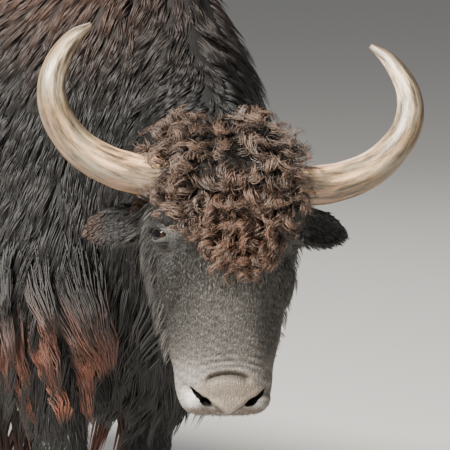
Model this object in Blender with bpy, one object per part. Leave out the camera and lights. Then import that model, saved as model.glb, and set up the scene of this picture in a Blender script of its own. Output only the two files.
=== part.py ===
"""A domestic yak, life size, standing with its head lowered and turned to its right.

Metres. The yak faces -Y, +X is its left side and the floor is z = 0.
"""

import math
import random

import bmesh
import bpy
import numpy as np
from mathutils import Matrix, Vector
from mathutils.bvhtree import BVHTree

# Driving sizes of the animal
HUMP_HEIGHT = 1.385
BODY_LENGTH = 1.68
BARREL_HALF = 0.325
CHEST_Y = -0.38
HORN_REACH = {"left": 0.305, "right": 0.29}
HORN_RISE = 0.235
HOOF_HEIGHT = 0.07

# Where the hooves stand, and how far back from there each foot has stepped
FORE_X, FORE_Y = 0.164, -0.095
HIND_X, HIND_Y = 0.156, 1.087
FORE_STEP = {"left": 0.17, "right": -0.01}
HIND_STEP = {"left": -0.07, "right": 0.08}

# The levels of the cuts between the upper and lower lengths of the legs
KNEE_CUT = 0.500
HOCK_CUT = 0.535

# The eyeballs, placed from the middle of the horn line, and the rims of their lids
EYE_RADIUS = 0.019
EYE_ACROSS = 0.101
EYE_DOWN = 0.096
EYE_OUT = 0.008
LID_RADIUS = 0.0055

# How deep a lock's root sinks into its core, how far it stands off, and its thickness for its width
LOCK_SINK = 0.030
LOCK_STAND = 0.016
LOCK_FLATNESS = 0.30
CLUMP_RADIUS = 0.036

# The thin cut that parts two pieces
GAP = 0.0003

# How the head is carried: its turn to the right, the muzzle's swing forward, and its roll. The horns
# have grown a little lower on the left.
HEAD_TURN = math.radians(36)
FACE_TILT = math.radians(12)
HEAD_ROLL = math.radians(2.5)
HORN_ROLL = math.radians(2.5)
HEAD_AT = Vector((-0.23, -0.51, 1.0))

# Coat and horn colours, linear
COAT_DARK = (0.030, 0.024, 0.021)
COAT_BROWN = (0.070, 0.040, 0.026)
HORN_PALE = (0.46, 0.36, 0.24)
HOOF_BLACK = (0.020, 0.018, 0.016)
EYE_BROWN = (0.030, 0.014, 0.009)

DOWN = Vector((0, 0, -1))
SIDES = {"left": 1, "right": -1}


def clear_scene():
    for found in list(bpy.data.objects):
        bpy.data.objects.remove(found)


def material(name, colour, roughness):
    made = bpy.data.materials.new(name)
    made.use_nodes = True
    shader = made.node_tree.nodes["Principled BSDF"]
    shader.inputs["Base Color"].default_value = (*colour, 1)
    shader.inputs["Roughness"].default_value = roughness
    shader.inputs["Metallic"].default_value = 0
    return made


def new_object(name, bm):
    """A linked object from a bmesh, with its faces pointing out."""
    bmesh.ops.recalc_face_normals(bm, faces=bm.faces)
    mesh = bpy.data.meshes.new(name)
    bm.to_mesh(mesh)
    bm.free()
    made = bpy.data.objects.new(name, mesh)
    bpy.context.scene.collection.objects.link(made)
    return made


def resample(stations, count):
    """Rows read from a smooth curve through the stations, evenly by station number."""
    rows = np.array(stations, float)
    padded = np.vstack([2 * rows[0] - rows[1], rows, 2 * rows[-1] - rows[-2]])
    read = []
    for place in np.linspace(0, len(rows) - 1, count):
        i = min(int(place), len(rows) - 2)
        t = place - i
        a, b, c, d = padded[i : i + 4]
        read.append(
            0.5 * (2 * b + (c - a) * t + (2 * a - 5 * b + 4 * c - d) * t**2 + (3 * b - a - 3 * c + d) * t**3)
        )
    return read


def loft(name, rings):
    """A closed solid through rings of points, each ring extruded from the one before."""
    count = len(rings[0])
    bm = bmesh.new()
    verts = bmesh.ops.create_circle(bm, segments=count, radius=1)["verts"]
    edges = bm.edges[:]
    for vert, point in zip(verts, rings[0]):
        vert.co = point
    bmesh.ops.contextual_create(bm, geom=edges)
    for ring in rings[1:]:
        order = {vert: i for i, vert in enumerate(verts)}
        grown = bmesh.ops.extrude_edge_only(bm, edges=edges)["geom"]
        fresh = {e for e in grown if isinstance(e, bmesh.types.BMVert)}
        verts = [None] * count
        for vert in fresh:
            source = next(e.other_vert(vert) for e in vert.link_edges if e.other_vert(vert) in order)
            verts[order[source]] = vert
            vert.co = ring[order[source]]
        edges = [e for e in grown if isinstance(e, bmesh.types.BMEdge) and set(e.verts) <= fresh]
    bmesh.ops.contextual_create(bm, geom=edges)
    bmesh.ops.triangulate(bm, faces=bm.faces, quad_method="FIXED")
    return new_object(name, bm)


def signed_power(value, power):
    return math.copysign(abs(value) ** power, value)


def oval(centre, side, up, half, rise, fall, count, upper=1.0, lower=1.0):
    """A ring with half width, rise above and fall below its centre; a power over 1 narrows that end."""
    points = []
    for i in range(count):
        turn = 2 * math.pi * (i + 0.5) / count
        high = math.sin(turn)
        across = signed_power(math.cos(turn), upper if high > 0 else lower)
        points.append(centre + side * half * across + up * (rise if high > 0 else fall) * high)
    return points


def tube(name, stations, count, rings, facing=Vector((1, 0, 0))):
    """A loft along a path. A station is x, y, z, its half size along `facing` and half size across it."""
    rows = resample(stations, rings)
    centres = [Vector(row[:3]) for row in rows]
    shape = []
    for i, row in enumerate(rows):
        way = (centres[min(i + 1, rings - 1)] - centres[max(i - 1, 0)]).normalized()
        fore = facing.cross(way).normalized()
        across = way.cross(fore)
        shape.append(oval(centres[i], across, fore, row[3], row[4], row[4], count))
    return loft(name, shape)


def combine(base, others, operation):
    """Joins or cuts the base with a group of closed meshes, applies it and removes the group."""
    group = bpy.data.collections.new("group")
    for other in others:
        group.objects.link(other)
    modifier = base.modifiers.new("combine", "BOOLEAN")
    modifier.operand_type = "COLLECTION"
    modifier.collection = group
    modifier.operation = operation
    modifier.solver = "MANIFOLD"
    bpy.context.view_layer.update()
    graph = bpy.context.evaluated_depsgraph_get()
    result = bpy.data.meshes.new_from_object(base.evaluated_get(graph))
    base.modifiers.clear()
    base.data = result
    for other in others:
        bpy.data.objects.remove(other)
    bpy.data.collections.remove(group)
    return base


def swollen(made):
    """A copy whose faces all stand off by the gap, to cut room for the piece in its neighbour."""
    bm = bmesh.new()
    bm.from_mesh(made.data)
    bmesh.ops.triangulate(bm, faces=bm.faces)
    bm.normal_update()
    moves = [vert.normal * GAP * min(vert.calc_shell_factor(), 3.0) for vert in bm.verts]
    for vert, move in zip(bm.verts, moves):
        vert.co += move
    return new_object("cutter", bm)


def part_from(made, *neighbours):
    """Cuts a piece clear of what it grows from or lies against. A neighbour is an object, or a list of
    cutters that stand for a piece joined from many."""
    cutters = []
    for neighbour in neighbours:
        if isinstance(neighbour, list):
            cutters += [cutter.copy() for cutter in neighbour]
        else:
            cutters.append(swollen(neighbour))
    combine(made, cutters, "DIFFERENCE")
    return keep_largest(made)


def keep_largest(base):
    """Deletes all but the largest closed surface."""
    bm = bmesh.new()
    bm.from_mesh(base.data)
    left = set(bm.faces)
    shells = []
    while left:
        reached = {left.pop()}
        edge = list(reached)
        while edge:
            near = {f for e in edge.pop().edges for f in e.link_faces} - reached
            reached |= near
            edge += near
        left -= reached
        shells.append(reached)
    shells.sort(key=lambda shell: sum(f.calc_area() for f in shell))
    loose = [f for shell in shells[:-1] for f in shell]
    bmesh.ops.delete(bm, geom=loose, context="FACES")
    bm.to_mesh(base.data)
    bm.free()
    return base


def lock(place, out, way, length, half, bend):
    """A flat lock that leaves the coat at a place, lies along `way`, and tapers and bends sideways."""
    across = way.cross(out).normalized()
    out = across.cross(way).normalized()
    shape = [
        # share of the length, stand off the coat, share of the width, share of the thickness
        (0.00, -LOCK_SINK, 0.60, 0.80),
        (0.30, LOCK_STAND * 0.7, 1.00, 1.00),
        (0.68, LOCK_STAND, 0.78, 0.75),
        (1.00, 0.0, 0.08, 0.15),
    ]
    rings = []
    for along, stand, wide, thick in shape:
        centre = place + way * length * along + out * stand + across * bend * length * along**2
        side = across * half * wide
        face = out * half * LOCK_FLATNESS * thick
        rings.append([centre + side, centre + face, centre - side, centre - face * 0.7])
    return loft("lock", rings)


def coat(made, roots, draw):
    """Joins locks to a core, and gives the joined piece and the cutters that stand for it. A root is a
    point outside the core, the way in to its surface, the way the lock hangs, its length and half width."""
    tree = BVHTree.FromPolygons([v.co for v in made.data.vertices], [p.vertices for p in made.data.polygons])
    locks = []
    for start, inward, way, length, half in roots:
        place = tree.ray_cast(start, inward)[0]
        long = length * draw.uniform(0.86, 1.08)
        wide = half * draw.uniform(0.92, 1.12)
        locks.append(lock(place, -inward, way.normalized(), long, wide, draw.uniform(-0.14, 0.14)))
    cutters = [swollen(piece) for piece in [made, *locks]]
    return combine(made, locks, "UNION"), cutters


def side_roots(side, rows, sweep):
    """Roots on one side. A row is its height, its first and last y, count, length and half width."""
    roots = []
    for z, first, last, count, length, half in rows:
        for i in range(count):
            y = first + (last - first) * (i + 0.5) / count
            way = Vector((side * 0.04, sweep, -1))
            roots.append((Vector((side, y, z)), Vector((-side, 0, 0)), way, length, half))
    return roots


def round_roots(centre, rows, first, last, sweep=0.0):
    """Roots round an upright core, from one bearing to another, swept back as they hang. A bearing of
    0 looks along -Y."""
    roots = []
    for row, (z, y, count, length, half) in enumerate(rows):
        for i in range(count):
            bearing = first + (last - first) * (i + 0.5 + 0.4 * (row % 2)) / count
            outward = Vector((math.sin(bearing), -math.cos(bearing), 0))
            start = Vector((centre, y, z)) + outward
            way = DOWN + outward * 0.06 + Vector((0, sweep, 0))
            roots.append((start, -outward, way, length, half))
    return roots


def torso_core(name):
    """Hump, barrel and rump. A station is the share of the body's length, the top and the underside
    as shares of the hump's height, and the half width as a share of the barrel's."""
    stations = [
        (0.000, 0.760, 0.545, 0.24),
        (0.030, 0.850, 0.485, 0.43),
        (0.083, 0.950, 0.434, 0.59),
        (0.155, 0.996, 0.398, 0.73),
        (0.238, 1.000, 0.379, 0.82),
        (0.321, 0.978, 0.372, 0.86),
        (0.417, 0.939, 0.365, 0.91),
        (0.512, 0.911, 0.361, 0.97),
        (0.607, 0.897, 0.361, 1.00),
        (0.702, 0.894, 0.368, 0.985),
        (0.786, 0.892, 0.386, 0.917),
        (0.857, 0.877, 0.419, 0.815),
        (0.923, 0.841, 0.469, 0.69),
        (0.970, 0.787, 0.534, 0.51),
        (1.000, 0.722, 0.621, 0.25),
    ]
    widest = 0.42
    rings = []
    rows = resample(stations, 21)
    for i, (along, top, low, half) in enumerate(rows):
        middle = low + widest * (top - low)
        front = max(0.0, 0.2 - along) / 0.2
        rings.append(
            oval(
                Vector((0, CHEST_Y + along * BODY_LENGTH, middle * HUMP_HEIGHT)),
                Vector((1, 0, 0)),
                Vector((0, 0, 1)),
                half * BARREL_HALF,
                (top - middle) * HUMP_HEIGHT,
                (middle - low) * HUMP_HEIGHT,
                20,
                upper=1.15 + 2.4 * max(0.0, top - 0.89),
                lower=0.85 + 0.7 * front,
            )
        )
    return loft(name, rings)


def neck_core(name):
    """From inside the chest to inside the back of the head, bending to the right."""
    stations = [
        # x, y, z, half width, rise, fall
        (0.000, 0.020, 1.000, 0.190, 0.310, 0.330),
        (-0.012, -0.120, 1.000, 0.190, 0.315, 0.335),
        (-0.045, -0.250, 0.985, 0.165, 0.275, 0.300),
        (-0.100, -0.345, 0.965, 0.140, 0.205, 0.250),
        (-0.150, -0.415, 0.950, 0.120, 0.160, 0.195),
        (-0.190, -0.468, 0.950, 0.098, 0.105, 0.130),
        (-0.212, -0.498, 0.955, 0.060, 0.060, 0.070),
    ]
    rings = []
    rows = resample(stations, 10)
    for i, (x, y, z, half, rise, fall) in enumerate(rows):
        turn = HEAD_TURN * i / (len(rows) - 1)
        side = Vector((math.cos(turn), -math.sin(turn), 0))
        rings.append(
            oval(Vector((x, y, z)), side, Vector((0, 0, 1)), half, rise, fall, 16, upper=1.25, lower=1.15)
        )
    return loft(name, rings)


def neck(name, draw):
    """The neck, with the long hair that hangs from its lower half."""
    rows = [(0.86, -0.35, -0.20, 2, 0.20, 0.060), (0.80, -0.42, -0.24, 2, 0.17, 0.056)]
    roots = []
    for side in SIDES.values():
        roots += side_roots(side, rows, 0.15)
    return coat(neck_core(name), roots, draw)


def head_axes():
    """The head's own left, down-the-face and out-of-the-face directions."""
    ahead = Vector((-math.sin(HEAD_TURN), -math.cos(HEAD_TURN), 0))
    level = Vector((math.cos(HEAD_TURN), -math.sin(HEAD_TURN), 0))
    face = ahead * math.cos(FACE_TILT) - DOWN * math.sin(FACE_TILT)
    nose = DOWN * math.cos(FACE_TILT) + ahead * math.sin(FACE_TILT)
    left = level * math.cos(HEAD_ROLL) + nose * math.sin(HEAD_ROLL)
    down = nose * math.cos(HEAD_ROLL) - level * math.sin(HEAD_ROLL)
    return left, down, face


LEFT, MUZZLEWARD, FACE = head_axes()


def on_head(across, down, out):
    """A place from the middle of the horn line: to the head's left, muzzleward and out of the face."""
    return HEAD_AT + LEFT * across + MUZZLEWARD * down + FACE * out


def head_core(name):
    """Skull, cheeks and muzzle."""
    stations = [
        # towards the muzzle, front, back, half width
        (-0.088, -0.010, -0.065, 0.045),
        (-0.070, 0.020, -0.092, 0.080),
        (-0.035, 0.046, -0.122, 0.102),
        (0.015, 0.058, -0.145, 0.110),
        (0.065, 0.062, -0.168, 0.121),
        (0.110, 0.057, -0.183, 0.124),
        (0.160, 0.050, -0.186, 0.114),
        (0.210, 0.043, -0.170, 0.103),
        (0.258, 0.037, -0.142, 0.094),
        (0.300, 0.034, -0.115, 0.083),
        (0.335, 0.030, -0.099, 0.080),
        (0.360, 0.014, -0.088, 0.070),
        (0.377, -0.014, -0.072, 0.046),
    ]
    rings = []
    rows = resample(stations, 20)
    for down, front, back, half in rows:
        middle = front + 0.48 * (back - front)
        rings.append(
            oval(
                on_head(0, down, middle),
                LEFT,
                FACE,
                half,
                front - middle,
                middle - back,
                18,
                upper=0.80,
                lower=1.15,
            )
        )
    return loft(name, rings)


def horn(name, side):
    """Out from the side of the skull, up round a wide curve, and in again at the tip."""
    across, up = HORN_REACH["left" if side > 0 else "right"], HORN_RISE
    path = [
        # share of the reach, share of the rise, out of the face, radius
        (0.24, 0.02, -0.030, 0.032),
        (0.44, -0.01, -0.034, 0.0325),
        (0.64, 0.04, -0.036, 0.031),
        (0.82, 0.16, -0.034, 0.0285),
        (0.945, 0.35, -0.028, 0.0255),
        (0.985, 0.54, -0.024, 0.0225),
        (0.955, 0.73, -0.028, 0.0185),
        (0.870, 0.90, -0.040, 0.0125),
        (0.775, 1.00, -0.052, 0.0045),
    ]
    stations = []
    lower, level = math.sin(HORN_ROLL), math.cos(HORN_ROLL)
    for out, rise, depth, radius in path:
        beside, down = side * out * across, -rise * up
        place = on_head(beside * level - down * lower, down * level + beside * lower, depth)
        stations.append((*place, radius, radius))
    return tube(name, stations, 12, 15, facing=FACE)


def ear(name, side):
    """A thick leaf that points out and back, with its cup opening forward."""
    root = on_head(side * 0.088, 0.060, -0.062)
    tip = on_head(side * 0.224, 0.078, -0.140)
    way = (tip - root).normalized()
    broad = (MUZZLEWARD - way * MUZZLEWARD.dot(way)).normalized()
    thick = way.cross(broad).normalized()
    widths = [
        # share of the length, half breadth, half thickness
        (0.00, 0.018, 0.014),
        (0.25, 0.024, 0.013),
        (0.50, 0.032, 0.011),
        (0.75, 0.030, 0.009),
        (0.93, 0.017, 0.006),
        (1.00, 0.004, 0.003),
    ]
    rings = []
    for share, half, depth in resample(widths, 8):
        rings.append(oval(root.lerp(tip, share), broad, thick, half, depth, depth, 10))
    made = loft(name, rings)
    scoop = []
    for share, half, depth in resample(widths, 7)[2:-1]:
        open_way = FACE * 0.7 + LEFT * side * 0.3
        centre = root.lerp(tip, share) + thick * math.copysign(0.008, thick.dot(open_way))
        scoop.append(oval(centre, broad, thick, half * 0.74, depth * 0.85, depth * 0.85, 8))
    return combine(made, [loft("scoop", scoop)], "DIFFERENCE")


def eyeball(name, side):
    bm = bmesh.new()
    place = Matrix.Translation(on_head(side * EYE_ACROSS, EYE_DOWN, EYE_OUT))
    bmesh.ops.create_uvsphere(bm, u_segments=10, v_segments=7, radius=EYE_RADIUS, matrix=place)
    return new_object(name, bm)


def lids(side):
    """An upper and a lower rim over the ball, along the slit that faces out to the side."""
    centre = on_head(side * EYE_ACROSS, EYE_DOWN, EYE_OUT)
    gaze = (LEFT * side * 0.86 + FACE * 0.5).normalized()
    along = (FACE - gaze * FACE.dot(gaze)).normalized()
    up = gaze.cross(along).normalized()
    up = up if up.dot(MUZZLEWARD) < 0 else -up
    made = []
    for rim, lift in ((up, 0.62), (-up, 0.52)):
        stations = []
        for i in range(6):
            turn = math.pi * (i / 5 - 0.5) * 0.98
            middle = (rim * lift + gaze * (1 - lift * 0.4)).normalized()
            spot = along * math.sin(turn) + middle * math.cos(turn)
            size = LID_RADIUS * (0.55 + 0.45 * math.cos(turn))
            stations.append((*(centre + spot.normalized() * (EYE_RADIUS + 0.0012)), size, size))
        made.append(tube("lid", stations, 6, 7, facing=gaze))
    return made


def ellipsoid(name, centre, axes, halves, segments=10, rings=6):
    """A sphere stretched to its half sizes along three directions."""
    bm = bmesh.new()
    frame = Matrix([axes[0] * halves[0], axes[1] * halves[1], axes[2] * halves[2]]).transposed().to_4x4()
    place = Matrix.Translation(centre) @ frame
    bmesh.ops.create_uvsphere(bm, u_segments=segments, v_segments=rings, radius=1, matrix=place)
    return new_object(name, bm)


def nostril(side):
    """The cut of one nostril: a slot that slants down and in at the edge of the nose pad."""
    slant = (MUZZLEWARD * 0.75 - LEFT * side * 0.65).normalized()
    inward = (FACE * 0.35 + LEFT * side * 0.8 + MUZZLEWARD * 0.35).normalized()
    inward = (inward - slant * inward.dot(slant)).normalized()
    centre = on_head(side * 0.049, 0.357, -0.012)
    return ellipsoid("nostril", centre, (slant, inward, slant.cross(inward)), (0.021, 0.020, 0.0075))


def mouth_groove():
    """The cut of the line of the mouth, from one corner round the muzzle to the other."""
    stations = []
    for i in range(13):
        turn = math.pi * (i / 12 - 0.5)
        across, down = math.sin(turn), math.cos(turn)
        spot = on_head(0.075 * across * (1.10 - 0.10 * down), 0.262 + 0.110 * down, -0.074 + 0.026 * down)
        stations.append((*spot, 0.009, 0.0022))
    return tube("mouth", stations, 6, 17, facing=MUZZLEWARD)


def curls(centre, halves, count, reach, draw):
    """Rounded clumps set close in a spiral over the front of an ellipsoid on the head."""
    made = []
    for i in range(count):
        lean = math.acos(1 - reach * (i + 0.5) / count)
        turn = i * math.pi * (3 - math.sqrt(5))
        across, down, out = math.sin(lean) * math.cos(turn), math.sin(lean) * math.sin(turn), math.cos(lean)
        place = centre + LEFT * across * halves[0] + MUZZLEWARD * down * halves[1] + FACE * out * halves[2]
        normal = LEFT * across / halves[0] + MUZZLEWARD * down / halves[1] + FACE * out / halves[2]
        normal = normal.normalized()
        lie = (MUZZLEWARD * draw.uniform(0.5, 1) + LEFT * draw.uniform(-0.6, 0.6)).cross(normal).normalized()
        size = CLUMP_RADIUS * draw.uniform(0.85, 1.12)
        axes = (lie, normal.cross(lie), normal)
        made.append(ellipsoid("clump", place, axes, (size, size * 0.88, size * 0.75), 5, 4))
    return made


def mop(draw):
    """The curly cap of the forehead and the poll: a core and the clumps over it."""
    upper = on_head(0, -0.005, 0.018)
    lower = on_head(0, 0.090, 0.040)
    upper_halves = (0.112, 0.100, 0.062)
    lower_halves = (0.070, 0.075, 0.038)
    made = [
        ellipsoid("cap", upper, (LEFT, MUZZLEWARD, FACE), upper_halves, 12, 7),
        ellipsoid("cap", lower, (LEFT, MUZZLEWARD, FACE), lower_halves, 9, 5),
    ]
    made += curls(upper, upper_halves, 20, 1.2, draw)
    made += curls(lower, lower_halves, 6, 0.75, draw)
    return made


def head(inserts, draw):
    """The head, with room cut for the horns, ears and eyes."""
    made = head_core("head")
    combine(made, mop(draw) + lids(1) + lids(-1), "UNION")
    cuts = [nostril(1), nostril(-1), mouth_groove()] + [swollen(insert) for insert in inserts]
    combine(made, cuts, "DIFFERENCE")
    return keep_largest(made)


def foreleg(name, side, step, draw):
    """Shoulder to hoof. `step` is how far back the hoof stands."""
    x = side
    stations = [
        # x, y, z, half across, half fore and aft
        (0.165 * x, -0.030 + 0.1 * step, 0.930, 0.085, 0.150),
        (0.190 * x, -0.020 + 0.2 * step, 0.800, 0.090, 0.140),
        (0.195 * x, -0.025 + 0.35 * step, 0.690, 0.080, 0.115),
        (0.188 * x, -0.045 + 0.55 * step, 0.560, 0.062, 0.080),
        (0.175 * x, -0.060 + 0.75 * step, 0.450, 0.050, 0.057),
        (0.168 * x, -0.068 + 0.85 * step, 0.380, 0.050, 0.054),
        (0.165 * x, -0.062 + 0.93 * step, 0.290, 0.036, 0.039),
        (0.164 * x, -0.060 + 0.97 * step, 0.210, 0.035, 0.038),
        (0.164 * x, -0.062 + 1.00 * step, 0.150, 0.043, 0.047),
        (0.164 * x, -0.080 + 1.00 * step, 0.105, 0.040, 0.043),
        (0.164 * x, -0.100 + 1.00 * step, HOOF_HEIGHT - 0.010, 0.046, 0.050),
    ]
    rows = [(0.79, 3, 0.27, 0.070), (0.66, 2, 0.17, 0.066)]
    roots = leg_roots(side, stations, rows, [(0.63, 0.15)], -0.25)
    return leg(name, stations, KNEE_CUT, roots, draw)


def hindleg(name, side, step, draw):
    """Thigh to hoof, with the hock's bend. `step` is how far back the hoof stands."""
    x = side
    stations = [
        (0.150 * x, 1.010 + 0.05 * step, 0.920, 0.110, 0.200),
        (0.180 * x, 1.000 + 0.10 * step, 0.790, 0.115, 0.190),
        (0.185 * x, 1.010 + 0.20 * step, 0.670, 0.095, 0.150),
        (0.175 * x, 1.060 + 0.45 * step, 0.560, 0.066, 0.096),
        (0.165 * x, 1.125 + 0.65 * step, 0.460, 0.047, 0.066),
        (0.160 * x, 1.148 + 0.80 * step, 0.400, 0.043, 0.058),
        (0.157 * x, 1.140 + 0.90 * step, 0.310, 0.036, 0.044),
        (0.156 * x, 1.130 + 0.96 * step, 0.220, 0.035, 0.041),
        (0.156 * x, 1.122 + 1.00 * step, 0.150, 0.043, 0.048),
        (0.156 * x, 1.103 + 1.00 * step, 0.105, 0.040, 0.043),
        (0.156 * x, 1.082 + 1.00 * step, HOOF_HEIGHT - 0.010, 0.046, 0.050),
    ]
    rows = [(0.80, 4, 0.42, 0.068), (0.67, 2, 0.31, 0.066)]
    roots = leg_roots(side, stations, rows, [(0.72, 0.34)], 0.05)
    return leg(name, stations, HOCK_CUT, roots, draw)


def leg_roots(side, stations, rows, behind, sweep):
    """Roots on a leg's outer side, and down its back. A row is its height, count, length and half width."""
    heights = [-station[2] for station in stations]
    roots = []
    for z, count, length, half in rows:
        y = np.interp(-z, heights, [station[1] for station in stations])
        reach = 0.8 * np.interp(-z, heights, [station[4] for station in stations])
        roots += side_roots(side, [(z, y - reach, y + reach, count, length, half)], sweep)
    for z, length in behind:
        x = np.interp(-z, heights, [station[0] for station in stations])
        roots.append((Vector((x, 2, z)), Vector((0, -1, 0)), Vector((0, 0.12, -1)), length, 0.052))
    return roots


def sliced(made, height, keep):
    """Keeps what lies above (1) or below (-1) a level, and closes the cut."""
    bm = bmesh.new()
    bm.from_mesh(made.data)
    everything = bm.verts[:] + bm.edges[:] + bm.faces[:]
    level, away = (0, 0, height), (0, 0, -keep)
    cut = bmesh.ops.bisect_plane(bm, geom=everything, plane_co=level, plane_no=away, clear_outer=True)
    rim = [e for e in cut["geom_cut"] if isinstance(e, bmesh.types.BMEdge)]
    bmesh.ops.triangulate(bm, faces=bmesh.ops.contextual_create(bm, geom=rim)["faces"])
    bm.to_mesh(made.data)
    bm.free()
    return made


def leg(name, stations, joint, roots, draw):
    """The haired upper length of a leg and its bare lower length, parted by a level cut at the joint."""
    upper = sliced(tube(f"{name}_upper", stations, 10, 15), joint + GAP, 1)
    lower = sliced(tube(f"{name}_lower", stations, 10, 15), joint, -1)
    return *coat(upper, roots, draw), sliced(lower, HOOF_HEIGHT + GAP, 1)


def claw(name, half, x, y):
    """One half of a cloven hoof: `half` is -1 or 1 across the foot. Flat on the floor."""
    width, toe, heel, split = 0.047, 0.086, 0.050, 0.0015
    bm = bmesh.new()
    verts = bmesh.ops.create_circle(bm, segments=14, radius=1)["verts"]
    for vert in verts:
        across, ahead = vert.co.x * half, vert.co.y
        vert.co.x = half * (split + width * (0.42 + (0.42 if across < 0 else 0.58) * across))
        vert.co.y = -ahead * (toe if ahead > 0 else heel)
    bmesh.ops.contextual_create(bm, geom=bm.edges[:])
    top = bmesh.ops.extrude_face_region(bm, geom=bm.faces[:])
    for vert in [v for v in top["geom"] if isinstance(v, bmesh.types.BMVert)]:
        vert.co.z = HOOF_HEIGHT
        vert.co.x = half * split + (vert.co.x - half * split) * 0.78
        vert.co.y = vert.co.y * 0.66 + 0.008
    for vert in bm.verts:
        vert.co += Vector((x, y, 0))
    return new_object(name, bm)


def tail(name, draw):
    """The dock and its bone, with the brush of long hair round it."""
    stations = [
        (0, 1.225, 1.060, 0.034, 0.034),
        (0, 1.300, 1.045, 0.034, 0.034),
        (0, 1.355, 0.980, 0.032, 0.034),
        (0, 1.378, 0.860, 0.038, 0.038),
        (0, 1.380, 0.720, 0.042, 0.040),
        (0, 1.376, 0.580, 0.024, 0.024),
    ]
    rows = [
        # height, y, count round it, length, half width
        (0.940, 1.362, 3, 0.40, 0.046),
        (0.800, 1.380, 3, 0.44, 0.054),
        (0.660, 1.378, 3, 0.40, 0.050),
    ]
    return coat(tube(name, stations, 8, 11), round_roots(0, rows, 0, 2 * math.pi), draw)


def flank(name, side, draw):
    """The long hair of one flank, hanging below the belly."""
    stations = []
    for i in range(9):
        along = i / 8
        swell = math.sin(math.pi * (0.08 + 0.84 * along)) ** 0.4
        out = side * (0.262 + 0.022 * swell)
        stations.append((out, 0.07 + 0.83 * along, 0.66, 0.042 * swell, 0.15 * swell))
    rows = [
        # height, first and last y, count, length, half width
        (0.76, 0.10, 0.88, 5, 0.45, 0.086),
        (0.62, 0.09, 0.87, 5, 0.34, 0.080),
    ]
    return coat(tube(name, stations, 10, 11), side_roots(side, rows, 0.06), draw)


def brisket(name, draw):
    """The loose skin and long hair under the chest, between the forelegs."""
    stations = [
        (0, -0.300, 0.870, 0.080, 0.060),
        (0, -0.265, 0.770, 0.090, 0.070),
        (0, -0.185, 0.670, 0.090, 0.080),
        (0, -0.100, 0.590, 0.066, 0.066),
    ]
    rows = [
        # height, y, count, length, half width
        (0.790, -0.270, 4, 0.18, 0.054),
        (0.690, -0.200, 4, 0.18, 0.056),
    ]
    wide = math.radians(100)
    roots = round_roots(0, rows, -wide, wide, 0.50)
    return coat(tube(name, stations, 10, 8), roots, draw)


def finish(made, finish_material):
    """Gives a node its material and smooth shading between its sharper edges."""
    made.data.materials.clear()
    made.data.materials.append(finish_material)
    made.data.shade_smooth()
    made.data.set_sharp_from_angle(angle=math.radians(50))


def centre_on_floor():
    """Moves every mesh so that the origin lies under the middle of the whole animal's box."""
    nodes = [o for o in bpy.context.scene.objects if o.type == "MESH"]
    points = np.array([v.co for o in nodes for v in o.data.vertices])
    middle = (points.min(0) + points.max(0)) / 2
    for node in nodes:
        node.data.transform(Matrix.Translation((-middle[0], -middle[1], 0)))


def build():
    clear_scene()
    draw = random.Random(4)
    dark = material("coat_dark", COAT_DARK, 0.75)
    brown = material("coat_brown", COAT_BROWN, 0.75)
    pale = material("horn_pale", HORN_PALE, 0.40)
    black = material("hoof_black", HOOF_BLACK, 0.50)
    gloss = material("eye_brown", EYE_BROWN, 0.08)

    torso = torso_core("torso")
    finish(torso, dark)
    grown = []
    for word, side in SIDES.items():
        for kind, maker, look in (("horn", horn, pale), ("ear", ear, dark), ("eye", eyeball, gloss)):
            made = maker(f"{kind}_{word}", side)
            finish(made, look)
            grown.append(made)
    skull = head(grown, draw)
    finish(skull, brown)
    throat, throat_room = neck("neck", draw)
    finish(part_from(throat, torso, skull, *grown), dark)
    front, front_room = brisket("brisket", draw)
    finish(part_from(front, torso, throat_room), dark)
    spent = throat_room + front_room
    for word, side in SIDES.items():
        legs = []
        for kind, maker, step, x, y in (
            ("fore", foreleg, FORE_STEP[word], FORE_X, FORE_Y),
            ("hind", hindleg, HIND_STEP[word], HIND_X, HIND_Y),
        ):
            upper, upper_room, lower = maker(f"{kind}leg_{word}", side, step, draw)
            finish(part_from(upper, torso, front_room), dark)
            finish(part_from(lower, upper_room, front_room), dark)
            legs += [upper_room, lower]
            spent += upper_room
            for place, half in (("outer", side), ("inner", -side)):
                finish(claw(f"claw_{kind}_{word}_{place}", half, side * x, y + step), black)
        hanging, room = flank(f"flank_{word}", side, draw)
        finish(part_from(hanging, torso, *legs), dark)
        spent += room
    switch, room = tail("tail", draw)
    finish(part_from(switch, torso), dark)
    for cutter in spent + room:
        bpy.data.objects.remove(cutter)
    centre_on_floor()


build()
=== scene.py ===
"""The looks of a domestic yak with its head lowered: one skin, its coat, horns, eyes and hooves.

Metres. The animal faces -Y, +X is its left side and the floor is z = 0. Shapes are made in the
source's own frame and moved by SHIFT when they are finished.
"""

import math

import bmesh
import bpy
import numpy as np
from mathutils import Matrix, Vector
from mathutils.bvhtree import BVHTree
from mathutils.kdtree import KDTree


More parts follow.
